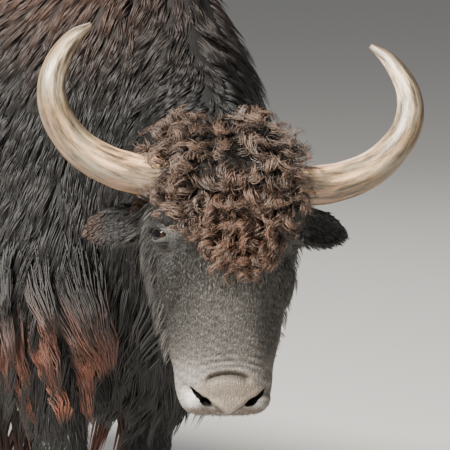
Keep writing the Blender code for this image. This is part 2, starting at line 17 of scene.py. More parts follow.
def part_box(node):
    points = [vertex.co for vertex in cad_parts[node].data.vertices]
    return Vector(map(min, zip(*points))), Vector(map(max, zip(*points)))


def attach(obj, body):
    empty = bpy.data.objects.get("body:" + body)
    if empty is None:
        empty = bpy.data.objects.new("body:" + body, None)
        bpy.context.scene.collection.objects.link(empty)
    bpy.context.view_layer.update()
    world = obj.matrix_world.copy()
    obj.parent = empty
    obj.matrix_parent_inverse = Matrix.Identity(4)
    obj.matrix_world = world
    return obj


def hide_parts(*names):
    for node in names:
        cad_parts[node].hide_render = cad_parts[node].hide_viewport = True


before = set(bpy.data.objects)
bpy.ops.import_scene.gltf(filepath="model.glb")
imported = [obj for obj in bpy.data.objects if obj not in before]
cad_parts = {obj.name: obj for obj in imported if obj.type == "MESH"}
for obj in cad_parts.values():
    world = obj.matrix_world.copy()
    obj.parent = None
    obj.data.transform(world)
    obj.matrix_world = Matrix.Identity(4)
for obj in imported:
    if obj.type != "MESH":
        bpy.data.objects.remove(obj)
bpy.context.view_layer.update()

# Driving sizes of the animal
HUMP_HEIGHT = 1.385
BODY_LENGTH = 1.68
BARREL_HALF = 0.325
CHEST_Y = -0.38
HORN_REACH = {"left": 0.305, "right": 0.29}
HORN_RISE = 0.235
HOOF_HEIGHT = 0.07
FORE_X, FORE_Y = 0.164, -0.095
HIND_X, HIND_Y = 0.156, 1.087
FORE_STEP = {"left": 0.17, "right": -0.01}
HIND_STEP = {"left": -0.07, "right": 0.08}
EYE_RADIUS = 0.019
EYE_ACROSS = 0.101
EYE_DOWN = 0.096
EYE_OUT = 0.008
SLIT_HALF = 0.0175
HEAD_TURN = math.radians(36)
FACE_TILT = math.radians(12)
HEAD_ROLL = math.radians(2.5)
HORN_ROLL = math.radians(2.5)
HEAD_AT = Vector((-0.23, -0.51, 1.0))
SIDES = {"left": 1, "right": -1}
DOWN = Vector((0, 0, -1))
SIDEWAYS = (1, 0, 0)
UPWARD = (0, 0, 1)

# How deep the skin lies under the coat's outline
TORSO_COAT = 0.026
NECK_COAT = 0.024
FACE_COAT = 0.003

# The fineness of the skin
BODY_VOXEL = 0.0125
HEAD_VOXEL = 0.0027


def head_axes():
    """The head's own left, down-the-face and out-of-the-face directions."""
    ahead = Vector((-math.sin(HEAD_TURN), -math.cos(HEAD_TURN), 0))
    level = Vector((math.cos(HEAD_TURN), -math.sin(HEAD_TURN), 0))
    face = ahead * math.cos(FACE_TILT) - DOWN * math.sin(FACE_TILT)
    nose = DOWN * math.cos(FACE_TILT) + ahead * math.sin(FACE_TILT)
    left = level * math.cos(HEAD_ROLL) + nose * math.sin(HEAD_ROLL)
    down = nose * math.cos(HEAD_ROLL) - level * math.sin(HEAD_ROLL)
    return left, down, face


HEAD_AXES = LEFT, MUZZLEWARD, FACE = head_axes()
HEAD_FRAME = np.array(HEAD_AXES)


def on_head(across, down, out):
    """A place from the middle of the horn line: to the head's left, muzzleward and out of the face."""
    return HEAD_AT + LEFT * across + MUZZLEWARD * down + FACE * out


def head_places(points):
    """Across, down and out of the face for many points."""
    return ((np.asarray(points) - np.array(HEAD_AT)) @ HEAD_FRAME.T).T


def eye_centre(side):
    return on_head(side * EYE_ACROSS, EYE_DOWN, EYE_OUT)


def from_eye(points, side):
    """How far each point lies from the middle of an eye."""
    return np.linalg.norm(points - np.array(eye_centre(side)), axis=1)


def shift_to_frame():
    low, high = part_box("eye_left")
    return (low + high) / 2 - eye_centre(SIDES["left"])


SHIFT = shift_to_frame()


# Meshes


def linked(name, data):
    """A new object of the scene that holds the data."""
    made = bpy.data.objects.new(name, data)
    bpy.context.scene.collection.objects.link(made)
    return made


def new_object(name, bm):
    """A linked object from a bmesh, with its faces pointing out."""
    bmesh.ops.recalc_face_normals(bm, faces=bm.faces)
    mesh = bpy.data.meshes.new(name)
    bm.to_mesh(mesh)
    bm.free()
    return linked(name, mesh)


def resample(stations, count):
    """Rows read from a smooth curve through the stations."""
    rows = np.array(stations, float)
    padded = np.vstack([2 * rows[0] - rows[1], rows, 2 * rows[-1] - rows[-2]])
    place = np.linspace(0, len(rows) - 1, count)
    i = np.minimum(place.astype(int), len(rows) - 2)
    t = (place - i)[:, None]
    a, b, c, d = (padded[i + k] for k in range(4))
    return 0.5 * (2 * b + (c - a) * t + (2 * a - 5 * b + 4 * c - d) * t**2 + (3 * b - a - 3 * c + d) * t**3)


def ovals(centres, sides, ups, half, rise, fall, count, upper=1.0, lower=1.0):
    """Rings round many centres; a power over 1 narrows the upper or the lower end."""
    turn = 2 * math.pi * (np.arange(count) + 0.5) / count
    high = np.sin(turn)[None, :]
    wide = np.cos(turn)[None, :]
    sizes = (half, rise, fall, upper, lower)
    half, rise, fall, upper, lower = (np.reshape(np.asarray(x, float), (-1, 1)) for x in sizes)
    power = np.where(high > 0, upper, lower)
    across = np.sign(wide) * np.abs(wide) ** power * half
    lift = np.where(high > 0, rise, fall) * high
    centres, sides, ups = (np.atleast_2d(np.asarray(x, float))[:, None, :] for x in (centres, sides, ups))
    return centres + sides * across[..., None] + ups * lift[..., None]


def loft(name, rings):
    """A closed solid through rings of points, each ring extruded from the one before. Every vertex
    keeps how far along it lies, and its bearing round as a sine and a cosine."""
    count = len(rings[0])
    bm = bmesh.new()
    along = bm.verts.layers.float.new("along")
    sine = bm.verts.layers.float.new("round_sin")
    cosine = bm.verts.layers.float.new("round_cos")
    verts = bmesh.ops.create_circle(bm, segments=count, radius=1)["verts"]
    edges = bm.edges[:]
    for i, (vert, point) in enumerate(zip(verts, rings[0])):
        vert.co = point
        vert[sine] = math.sin(2 * math.pi * i / count)
        vert[cosine] = math.cos(2 * math.pi * i / count)
    bmesh.ops.contextual_create(bm, geom=edges)
    for row, ring in enumerate(rings[1:], 1):
        order = {vert: i for i, vert in enumerate(verts)}
        grown = bmesh.ops.extrude_edge_only(bm, edges=edges)["geom"]
        fresh = {e for e in grown if isinstance(e, bmesh.types.BMVert)}
        verts = [None] * count
        for vert in fresh:
            source = next(e.other_vert(vert) for e in vert.link_edges if e.other_vert(vert) in order)
            i = order[source]
            verts[i] = vert
            vert.co = ring[i]
            vert[along] = row / (len(rings) - 1)
            vert[sine] = source[sine]
            vert[cosine] = source[cosine]
        edges = [e for e in grown if isinstance(e, bmesh.types.BMEdge) and set(e.verts) <= fresh]
    bmesh.ops.contextual_create(bm, geom=edges)
    return new_object(name, bm)


def ellipsoid(name, centre, axes, halves, segments=32, rings=20):
    bm = bmesh.new()
    stretched = Matrix([axes[0] * halves[0], axes[1] * halves[1], axes[2] * halves[2]]).transposed()
    place = Matrix.Translation(centre) @ stretched.to_4x4()
    bmesh.ops.create_uvsphere(bm, u_segments=segments, v_segments=rings, radius=1, matrix=place)
    return new_object(name, bm)


def on_face(name, across, down, out, wide, long, deep):
    """An ellipsoid set square on the head."""
    return ellipsoid(name, on_head(across, down, out), HEAD_AXES, (wide, long, deep))


def apply_modifiers(made):
    bpy.context.view_layer.update()
    graph = bpy.context.evaluated_depsgraph_get()
    made.data = bpy.data.meshes.new_from_object(made.evaluated_get(graph))
    made.modifiers.clear()
    return made


def combine(base, others, operation):
    """The base with the others joined to it or cut from it."""
    group = bpy.data.collections.new("group")
    for other in others:
        group.objects.link(other)
    modifier = base.modifiers.new("combine", "BOOLEAN")
    modifier.operand_type = "COLLECTION"
    modifier.collection = group
    modifier.operation = operation
    modifier.solver = "MANIFOLD"
    apply_modifiers(base)
    for other in others:
        bpy.data.objects.remove(other)
    bpy.data.collections.remove(group)
    return base


def fused(name, pieces, voxel, rounds):
    """One closed surface round overlapping solids, with its joins smoothed."""
    bm = bmesh.new()
    for piece in pieces:
        bm.from_mesh(piece.data)
        bpy.data.objects.remove(piece)
    made = new_object(name, bm)
    remesh = made.modifiers.new("fuse", "REMESH")
    remesh.mode = "VOXEL"
    remesh.voxel_size = voxel
    soften = made.modifiers.new("soften", "SMOOTH")
    soften.factor = 0.5
    soften.iterations = rounds
    return apply_modifiers(made)


def of_vertices(mesh, kind):
    """The place ("co") or the way out ("normal") of every vertex."""
    found = np.empty(len(mesh.vertices) * 3, np.float32)
    mesh.vertices.foreach_get(kind, found)
    return found.reshape(-1, 3).astype(float)


def move_vertices(mesh, points):
    mesh.vertices.foreach_set("co", points.astype(np.float32).ravel())
    mesh.update()


def hump(value, middle, spread):
    """1 at the middle, falling smoothly to 0."""
    return np.exp(-(((value - middle) / spread) ** 2))


def ease(value, low, high):
    """0 below low, 1 above high, smooth between."""
    t = np.clip((value - low) / (high - low), 0, 1)
    return t * t * (3 - 2 * t)


def ripple(points, scale, seed):
    """A soft patchy value from -1 to 1 over space."""
    draw = np.random.default_rng(seed)
    total = 0
    for _ in range(5):
        way = draw.normal(size=3) * scale
        total = total + np.sin(points @ way + draw.uniform(0, 6.28))
    return total / 5 * 1.5


# Forms, as rings of points


def torso_form():
    """A station is its place along the body, and its top, low edge and half width, all as shares."""
    stations = [
        (0.000, 0.760, 0.545, 0.24), (0.030, 0.850, 0.485, 0.43), (0.083, 0.950, 0.434, 0.59),
        (0.155, 0.996, 0.398, 0.73), (0.238, 1.000, 0.379, 0.82), (0.321, 0.978, 0.372, 0.86),
        (0.417, 0.939, 0.365, 0.91), (0.512, 0.911, 0.361, 0.97), (0.607, 0.897, 0.361, 1.00),
        (0.702, 0.894, 0.368, 0.985), (0.786, 0.892, 0.386, 0.917), (0.857, 0.877, 0.419, 0.815),
        (0.923, 0.841, 0.469, 0.69), (0.970, 0.787, 0.534, 0.51), (1.000, 0.722, 0.621, 0.25),
    ]
    along, top, low, half = resample(stations, count=60).T
    middle = low + 0.42 * (top - low)
    front = np.maximum(0.0, 0.2 - along) / 0.2
    length = CHEST_Y + along * BODY_LENGTH + 2 * TORSO_COAT * (0.5 - along)
    return ovals(
        np.stack([0 * along, length, middle * HUMP_HEIGHT], 1), SIDEWAYS, UPWARD,
        half * BARREL_HALF - TORSO_COAT,
        (top - middle) * HUMP_HEIGHT - TORSO_COAT,
        (middle - low) * HUMP_HEIGHT - TORSO_COAT,
        count=72,
        upper=1.15 + 2.4 * np.maximum(0.0, top - 0.89),
        lower=0.85 + 0.7 * front,
    )


def neck_form():
    """A station is x, y, z, its half width and its reach up and down."""
    stations = [
        (0.000, 0.020, 1.000, 0.190, 0.310, 0.330), (-0.012, -0.120, 1.000, 0.190, 0.315, 0.335),
        (-0.045, -0.250, 0.985, 0.165, 0.275, 0.300), (-0.100, -0.345, 0.965, 0.140, 0.205, 0.250),
        (-0.150, -0.415, 0.950, 0.120, 0.160, 0.195), (-0.190, -0.468, 0.950, 0.098, 0.105, 0.130),
        (-0.212, -0.498, 0.955, 0.060, 0.060, 0.070),
    ]
    rows = resample(stations, count=36)
    share = np.linspace(0, 1, len(rows))
    turn = HEAD_TURN * share
    sides = np.stack([np.cos(turn), -np.sin(turn), 0 * turn], 1)
    half, rise, fall = rows[:, 3:].T - NECK_COAT * (1 - ease(share, 0.6, 1.0))
    return ovals(rows[:, :3], sides, UPWARD, half, rise, fall, count=64, upper=1.25, lower=1.15)


def head_form():
    """A station is its place down the face, its front and back, and its half width."""
    stations = [
        (-0.088, -0.010, -0.065, 0.045), (-0.070, 0.020, -0.092, 0.080), (-0.035, 0.046, -0.122, 0.102),
        (0.015, 0.058, -0.145, 0.110), (0.065, 0.062, -0.168, 0.121), (0.110, 0.057, -0.183, 0.124),
        (0.160, 0.050, -0.186, 0.114), (0.210, 0.043, -0.170, 0.103), (0.258, 0.037, -0.142, 0.094),
        (0.300, 0.034, -0.115, 0.083), (0.335, 0.030, -0.099, 0.080), (0.360, 0.014, -0.088, 0.070),
        (0.377, -0.014, -0.072, 0.046),
    ]
    down, front, back, half = resample(stations, count=80).T
    middle = front + 0.48 * (back - front)
    centres = np.array(HEAD_AT) + np.outer(down, MUZZLEWARD) + np.outer(middle, FACE)
    rise = front - middle - FACE_COAT
    fall = middle - back - FACE_COAT
    return ovals(centres, LEFT, FACE, half - FACE_COAT, rise, fall, count=88, upper=0.80, lower=1.15)


def tube_form(stations, rings, count, facing=SIDEWAYS, slim=0.0):
    """Rings along a path. A station is x, y, z, its half size along `facing` and half size across it."""
    rows = resample(stations, rings)
    centres = rows[:, :3]
    way = np.gradient(centres, axis=0)
    way /= np.linalg.norm(way, axis=1, keepdims=True)
    fore = np.cross(np.array(facing), way)
    fore /= np.linalg.norm(fore, axis=1, keepdims=True)
    across = np.cross(way, fore)
    return ovals(centres, across, fore, rows[:, 3] - slim, rows[:, 4] - slim, rows[:, 4] - slim, count)


# Stations of the legs, from the body down: how far out and along the body, the share of the step that
# moves them along, the height and the half sizes across and along
LEGS = {
    "foreleg": [
        (0.165, -0.030, 0.10, 0.930, 0.085, 0.150), (0.190, -0.020, 0.20, 0.800, 0.090, 0.140),
        (0.195, -0.025, 0.35, 0.690, 0.080, 0.115), (0.188, -0.045, 0.55, 0.560, 0.062, 0.080),
        (0.175, -0.060, 0.75, 0.450, 0.050, 0.057), (0.168, -0.068, 0.85, 0.380, 0.050, 0.054),
        (0.165, -0.062, 0.93, 0.290, 0.036, 0.039), (0.164, -0.060, 0.97, 0.210, 0.035, 0.038),
        (0.164, -0.062, 1.00, 0.150, 0.043, 0.047), (0.164, -0.080, 1.00, 0.105, 0.040, 0.043),
        (0.164, -0.100, 1.00, HOOF_HEIGHT - 0.006, 0.043, 0.047),
    ],
    "hindleg": [
        (0.150, 1.010, 0.05, 0.920, 0.110, 0.200), (0.180, 1.000, 0.10, 0.790, 0.115, 0.190),
        (0.185, 1.010, 0.20, 0.670, 0.095, 0.150), (0.175, 1.060, 0.45, 0.560, 0.066, 0.096),
        (0.165, 1.125, 0.65, 0.460, 0.047, 0.066), (0.160, 1.148, 0.80, 0.400, 0.043, 0.058),
        (0.157, 1.140, 0.90, 0.310, 0.036, 0.044), (0.156, 1.130, 0.96, 0.220, 0.035, 0.041),
        (0.156, 1.122, 1.00, 0.150, 0.043, 0.048), (0.156, 1.103, 1.00, 0.105, 0.040, 0.043),
        (0.156, 1.082, 1.00, HOOF_HEIGHT - 0.006, 0.043, 0.047),
    ],
}


def leg_form(kind, side, step):
    """A leg's rings; its skin lies deeper on the haired upper length."""
    stations = [(x * side, y + share * step, z, *halves) for x, y, share, z, *halves in LEGS[kind]]
    rings = 60
    coat = 0.004 + 0.012 * (1 - ease(np.linspace(0, 1, rings), 0.25, 0.5))
    return tube_form(stations, rings, count=32, slim=coat)


def tail_form():
    stations = [
        (0, 1.225, 1.060, 0.034, 0.034), (0, 1.300, 1.045, 0.034, 0.034), (0, 1.355, 0.980, 0.032, 0.034),
        (0, 1.378, 0.860, 0.038, 0.038), (0, 1.380, 0.720, 0.042, 0.040), (0, 1.376, 0.580, 0.024, 0.024),
    ]
    return tube_form(stations, rings=30, count=24, slim=0.010)


def brisket_form():
    stations = [
        (0, -0.300, 0.870, 0.080, 0.060), (0, -0.265, 0.770, 0.090, 0.070),
        (0, -0.185, 0.670, 0.090, 0.080), (0, -0.100, 0.590, 0.066, 0.066),
    ]
    return tube_form(stations, rings=24, count=32, slim=0.022)


def ear_shape(side):
    """The ear's root, tip, its broad and its thick direction."""
    root = on_head(side * 0.080, 0.060, -0.058)
    tip = on_head(0.224 if side > 0 else -0.208, 0.078, -0.140)
    way = (tip - root).normalized()
    broad = (MUZZLEWARD - way * MUZZLEWARD.dot(way)).normalized()
    thick = way.cross(broad).normalized()
    return root, tip, broad, thick


def ear_form(side, width=1.0, depth=1.0, offset=0.0, first=0):
    """An ear's rings from the `first` on, or a narrower, thinner set beside them."""
    root, tip, broad, thick = ear_shape(side)
    widths = [
        (0.00, 0.018, 0.014), (0.25, 0.023, 0.012), (0.50, 0.031, 0.010),
        (0.75, 0.029, 0.008), (0.93, 0.016, 0.005), (1.00, 0.004, 0.003),
    ]
    share, half, deep = resample(widths, count=30)[first:].T
    centres = np.array(root) + np.outer(share, tip - root) + np.array(thick) * offset
    return ovals(centres, broad, thick, half * width, deep * depth, deep * depth, count=32)


FORMS = {"torso": torso_form(), "neck": neck_form(), "head": head_form(), "tail": tail_form()}
FORMS["brisket"] = brisket_form()
for word, side in SIDES.items():
    FORMS[f"foreleg_{word}"] = leg_form("foreleg", side, FORE_STEP[word])
    FORMS[f"hindleg_{word}"] = leg_form("hindleg", side, HIND_STEP[word])
    FORMS[f"ear_{word}"] = ear_form(side)


# The skin


def eye_axes(side):
    """Where an eye looks, the line of its slit, and up from it."""
    gaze = (LEFT * side * 0.86 + FACE * 0.5).normalized()
    along = (FACE - gaze * FACE.dot(gaze)).normalized()
    up = gaze.cross(along).normalized()
    return gaze, along, up if up.dot(MUZZLEWARD) < 0 else -up


def eye_cuts(side):
    """The room for the ball and the almond opening between the lids."""
    centre = eye_centre(side)
    gaze, along, up = eye_axes(side)
    ball = ellipsoid("ball", centre, HEAD_AXES, (EYE_RADIUS + 0.0004,) * 3, 40, 24)
    turns = [2 * math.pi * i / 32 for i in range(32)]
    rings = []
    for reach in (0.006, 0.030, 0.070):
        ring = []
        for turn in turns:
            x = math.cos(turn)
            high = math.sin(turn) * (0.0098 if math.sin(turn) > 0 else 0.0078)
            ring.append(centre + gaze * reach + along * x * SLIT_HALF + up * high * (1 - 0.25 * abs(x)))
        rings.append(ring)
    return [ball, loft("slit", rings)]


def nostril(side):
    """The narrow slit beside the nose pad and its rounder inner end: centre, axes and half sizes of each."""
    slant = (MUZZLEWARD * 0.66 - LEFT * side * 0.75).normalized()
    inward = (FACE * 0.90 + MUZZLEWARD * 0.30 + LEFT * side * 0.15).normalized()
    inward = (inward - slant * inward.dot(slant)).normalized()
    axes = (slant, inward, slant.cross(inward))
    centre = on_head(side * 0.0455, 0.3495, 0.012)
    inner = centre + slant * 0.011
    return [(centre, axes, (0.0215, 0.022, 0.0036)), (inner, axes, (0.0105, 0.026, 0.0062))]


def inside_nostril(points, swell=1.12):
    """Which points lie within a nostril or at its rim."""
    found = np.zeros(len(points), bool)
    for side in SIDES.values():
        for centre, axes, halves in nostril(side):
            apart = (points - np.array(centre)) @ np.array(axes).T / (np.array(halves) * swell)
            found |= np.sum(apart**2, 1) < 1
    return found


def mouth_cut():
    """A thin curved slot round the front of the muzzle."""
    stations = []
    for i in range(13):
        turn = math.pi * (i / 12 - 0.5)
        across, down = math.sin(turn), math.cos(turn)
        spot = on_head(0.075 * across * (1.10 - 0.10 * down), 0.262 + 0.110 * down, -0.074 + 0.026 * down)
        stations.append((*spot, 0.010, 0.0020))
    return loft("mouth", tube_form(stations, rings=60, count=16, facing=MUZZLEWARD))


def head_skin():
    """Skull, cheeks, brows and muzzle in one surface, with its openings."""
    pieces = [loft("skull", FORMS["head"])]
    for side in SIDES.values():
        centre = eye_centre(side)
        gaze, along, up = eye_axes(side)
        pieces += [
            ellipsoid("lids", centre, (along, up, gaze), (EYE_RADIUS + 0.0034,) * 3),
            ellipsoid("orbit", centre - gaze * 0.016, (along, up, gaze), (0.038, 0.032, 0.026)),
            on_face("brow", side * 0.088, 0.062, 0.020, 0.026, 0.022, 0.026),
            on_face("cheekbone", side * 0.088, 0.150, -0.012, 0.022, 0.060, 0.030),
            on_face("wing", side * 0.0435, 0.347, -0.018, 0.030, 0.029, 0.035),
            on_face("lip", side * 0.035, 0.350, -0.052, 0.033, 0.027, 0.034),
        ]
    pieces += [
        on_face("pad", 0, 0.352, -0.004, 0.043, 0.027, 0.026),
        on_face("chin", 0, 0.338, -0.092, 0.044, 0.034, 0.026),
    ]
    made = fused("head_skin", pieces, HEAD_VOXEL, rounds=4)
    sculpt_head(made)
    cuts = []
    for side in SIDES.values():
        cuts += eye_cuts(side)
        cuts += [ellipsoid("nostril", *shape) for shape in nostril(side)]
    combine(made, cuts + [mouth_cut()], "DIFFERENCE")
    for side in SIDES.values():
        combine(made, [ear_skin(side)], "UNION")
    return made


# Where the muzzle's forms lie down the face, and how they bend with the distance from its middle
PAD_EDGE, PAD_SLOPE = 0.3760, 0.72
HOLLOW_EDGE, HOLLOW_BEND = 0.3085, 7.0
# The creases' depths, places, bends and widths
CREASES = [(0.60, 0.281, 3.0, 0.0024), (1.0, 0.2915, 3.4, 0.0026), (0.75, 0.3005, 4.2, 0.0022)]


def past_pad(across, down):
    """How far below the V-shaped lower edge of the nose pad."""
    return down - PAD_EDGE + PAD_SLOPE * np.abs(across)


def hollow_share(across, down):
    """1 in the arched hollow above the nose pad, fading downward."""
    aside = np.abs(across + 0.003)
    below = down - (HOLLOW_EDGE + HOLLOW_BEND * aside**2)
    return ease(below, -0.002, 0.0025) * (1 - ease(below, 0.004, 0.018)) * (1 - ease(aside, 0.027, 0.040))


def creases(across, down):
    """1 in the arched creases over the muzzle."""
    arcs = (deep * hump(down, place + bend * across**2, width) for deep, place, bend, width in CREASES)
    return sum(arcs) * (1 - ease(np.abs(across), 0.040, 0.065))


def sculpt_head(made):
    """Folds over the lids, hollows of the cheeks and temples, and the creases of the muzzle."""
    points = of_vertices(made.data, "co")
    out_ways = of_vertices(made.data, "normal")
    across, down, out = head_places(points)
    wide = np.abs(across)
    move = np.zeros(len(points))
    front = ease(out, -0.03, 0.01)
    move -= 0.0075 * hollow_share(across, down) * front
    move -= 0.0026 * creases(across, down) * front
    below = past_pad(across, down)
    move -= 0.0045 * ease(below, -0.001, 0.006) * (1 - ease(below, 0.010, 0.030)) * ease(out, -0.03, 0.0)
    move += 0.0012 * hump(below, -0.006, 0.004) * front
    move -= 0.004 * hump(wide, 0.070, 0.020) * hump(down, 0.225, 0.050) * ease(out, -0.03, 0.02)
    move -= 0.005 * hump(wide, 0.098, 0.020) * hump(down, 0.130, 0.014) * hump(out, -0.004, 0.03)
    lid_folds = ((0.62, 0.0030), (0.80, 0.0018), (-0.60, 0.0020), (-0.78, 0.0012))
    for side in SIDES.values():
        gaze, _, up = (np.array(x) for x in eye_axes(side))
        apart = points - np.array(eye_centre(side))
        reach = np.linalg.norm(apart, axis=1)
        facing = np.clip((apart @ gaze) / np.maximum(reach, 1e-6), 0, 1)
        height = (apart @ up) / np.maximum(reach, 1e-6)
        near = hump(reach, 0.0235, 0.006) * ease(facing, 0.2, 0.5)
        for level, depth in lid_folds:
            move -= depth * hump(height, level, 0.055) * near
    move_vertices(made.data, points + out_ways * move[:, None])


def ear_skin(side):
    """The ear with its cup scooped out on the side that opens forward."""
    _, _, _, thick = ear_shape(side)
    open_way = FACE * 0.7 + LEFT * side * 0.3
    offset = math.copysign(0.0075, thick.dot(open_way))
    leaf = loft("ear", ear_form(side))
    cup = ear_form(side, width=0.78, depth=0.90, offset=offset, first=6)[:-2]
    return combine(leaf, [loft("scoop", cup)], "DIFFERENCE")


# Folds of the neck: where each begins and ends, how deep and how wide
FOLDS = [
    ((-0.098, -0.177, 1.25), (-0.150, -0.250, 1.130), 0.012, 0.024),
    ((-0.150, -0.250, 1.130), (-0.185, -0.240, 1.020), 0.010, 0.026),
    ((-0.062, -0.310, 1.180), (0.002, -0.345, 1.095), 0.005, 0.022),
    ((0.150, -0.180, 1.220), (0.190, -0.230, 1.060), 0.010, 0.026),
]


def fold_neck(made):
    """Presses the folds into the skin, with a swell beside each."""
    points = of_vertices(made.data, "co")
    move = np.zeros(len(points))
    for start, end, depth, width in FOLDS:
        start, way = np.array(start), np.array(end) - np.array(start)
        share = np.clip((points - start) @ way / (way @ way), 0, 1)
        apart = np.linalg.norm(points - start - share[:, None] * way, axis=1)
        move += 0.25 * depth * hump(apart, 2.2 * width, width) - depth * hump(apart, 0, width)
    move_vertices(made.data, points + of_vertices(made.data, "normal") * move[:, None])


def body_skin():
    """Trunk, neck, tail and legs in one surface."""
    names = ["torso", "neck", "tail", "brisket"] + [name for name in FORMS if "leg" in name]
    made = fused("body_skin", [loft(name, FORMS[name]) for name in names], BODY_VOXEL, rounds=6)
    fold_neck(made)
    return made


# Colours of skin and coat, linear

BLACK_COAT = np.array((0.0235, 0.0225, 0.0215))
RUST_COAT = np.array((0.088, 0.043, 0.027))
RED_TIP = np.array((0.200, 0.068, 0.038))
MOP_BROWN = np.array((0.049, 0.032, 0.023))
MOP_AUBURN = np.array((0.150, 0.076, 0.045))
FACE_DARK = np.array((0.026, 0.024, 0.022))
FACE_GREY = np.array((0.142, 0.132, 0.118))
MUZZLE_GREY = np.array((0.165, 0.148, 0.131))
PAD_GREY = np.array((0.160, 0.130, 0.098))
# The lips' pale colour, brightened further as painted light
LIP_PALE_AND_LIT = np.array((0.600, 0.570, 0.530))
CHIN_BROWN = np.array((0.060, 0.038, 0.026))
EAR_BROWN = np.array((0.070, 0.040, 0.028))
SKIN_BLACK = np.array((0.008, 0.007, 0.007))
LID_GREY = np.array((0.062, 0.059, 0.055))


def is_mop(places):
    """The crown and the lobe of curls that comes down the forehead."""
    across, down, out = head_places(places)
    crown = 1 - (across / 0.108) ** 2 - ((down + 0.002) / 0.100) ** 2
    lobe = 1 - ((across - 0.16 * (down - 0.05)) / 0.064) ** 2 - ((down - 0.050) / 0.098) ** 2
    return (np.maximum(crown, lobe) > 0) & (out > -0.10)


def blend_colours(base, colour, share):
    return base + (colour - base) * np.clip(share, 0, 1)[:, None]


def markings(points):
    """Root and tip colours of the coat at many points of the skin."""
    across, down, out = head_places(points)
    x, y, z = np.asarray(points).T
    patch = ripple(points, 9, 1)
    fine = ripple(points, 40, 2)
    root = np.tile(BLACK_COAT, (len(points), 1))
    tip = root * 1.15
    high = ease(z + 0.05 * patch, 1.12, 1.30) * (1 - ease(y, 0.30, 0.75))
    high = high * (0.35 + 0.65 * ease(y, -0.26, -0.08))
    root = blend_colours(root, RUST_COAT, 0.55 * high)
    tip = blend_colours(tip, RUST_COAT * 1.3, 0.80 * high)
    # shade: painted shade in the recess of the throat and brisket between the forelegs; it also darkens the
    # coat low on the legs and belly and on top of the neck
    shade = 0.85 * hump(x, 0, 0.22) * (1 - ease(z, 0.72, 0.98)) * (1 - ease(y, -0.05, 0.20))
    shade = np.maximum(shade, 0.55 * (1 - ease(z, 0.55, 0.68)))
    shade = np.maximum(shade, 0.40 * ease(z, 0.95, 1.08) * (1 - ease(y, -0.22, 0.0)))
    root = root * (1 - shade)[:, None]
    tip = tip * (1 - shade)[:, None]
    skirt = (1 - ease(z, 0.60, 0.85)) * ease(y, 0.2, 0.5)
    tip = blend_colours(tip, RUST_COAT, 0.35 * skirt)
    face_share = on_the_face(across, down, out)
    face = np.tile(FACE_DARK, (len(points), 1))
    face = blend_colours(face, FACE_GREY, bridge_share(across, down, out, fine))
    face = blend_colours(face, MUZZLE_GREY, muzzle_share(across, down, out, fine))
    face = face * np.clip(1 + 0.48 * ripple(points, 470, 3), 0.40, 1.8)[:, None]
    root = blend_colours(root, face, face_share)
    tip = blend_colours(tip, face * 1.2, face_share)
    ear = ease(-across, 0.170, 0.200) * (out > -0.165) * (down > 0) * (down < 0.16)
    root = blend_colours(root, EAR_BROWN * 0.7, ear)
    tip = blend_colours(tip, EAR_BROWN, ear)
    root = blend_colours(root, MOP_BROWN * 0.8, is_mop(points).astype(float))
    return root, tip


def on_the_face(across, down, out):
    """1 on the front of the head, 0 on the neck behind it."""
    return ease(out, -0.19, -0.10) * ease(down, -0.02, 0.06) * (1 - ease(np.abs(across), 0.118, 0.14))


def bridge_share(across, down, out, fine):
    """The greyer middle of the face."""
    share = (0.70 + 0.2 * fine) * ease(down, 0.10, 0.22) * ease(out, -0.06, 0.02)
    return share * hump(across, -0.012, 0.056)


def muzzle_share(across, down, out, fine):
    """The pale muzzle, with painted shade darkening it towards the left of the head."""
    # painted shade on the muzzle's left, the side turned away from the key light
    side = 1 - 0.45 * ease(across, 0.010, 0.065)
    return ease(down + 0.008 * fine, 0.225, 0.340) * (0.35 + 0.65 * ease(out, -0.10, -0.01)) * side


def paint(mesh, name, colours):
    """Stores a colour on each vertex."""
    layer = mesh.attributes.new(name, "FLOAT_COLOR", "POINT")
    full = np.ones((len(colours), 4), np.float32)
    full[:, :3] = colours
    layer.data.foreach_set("color", full.ravel())


def store(mesh, name, values):
    """Stores a number on each vertex."""
    layer = mesh.attributes.new(name, "FLOAT", "POINT")
    layer.data.foreach_set("value", np.asarray(values, np.float32))


def nose_pad(across, down, out):
    """1 on the bare skin between the nostrils: rounded above, V-shaped below."""
    above = np.maximum(0.350 - down, 0) / 0.046
    shield = ease(1 - (np.abs(across) / 0.052) ** 2.4 - above**2.2, 0.0, 0.30)
    return shield * (1 - ease(past_pad(across, down), 0.0, 0.005)) * ease(out, -0.06, -0.03) * (down < 0.40)


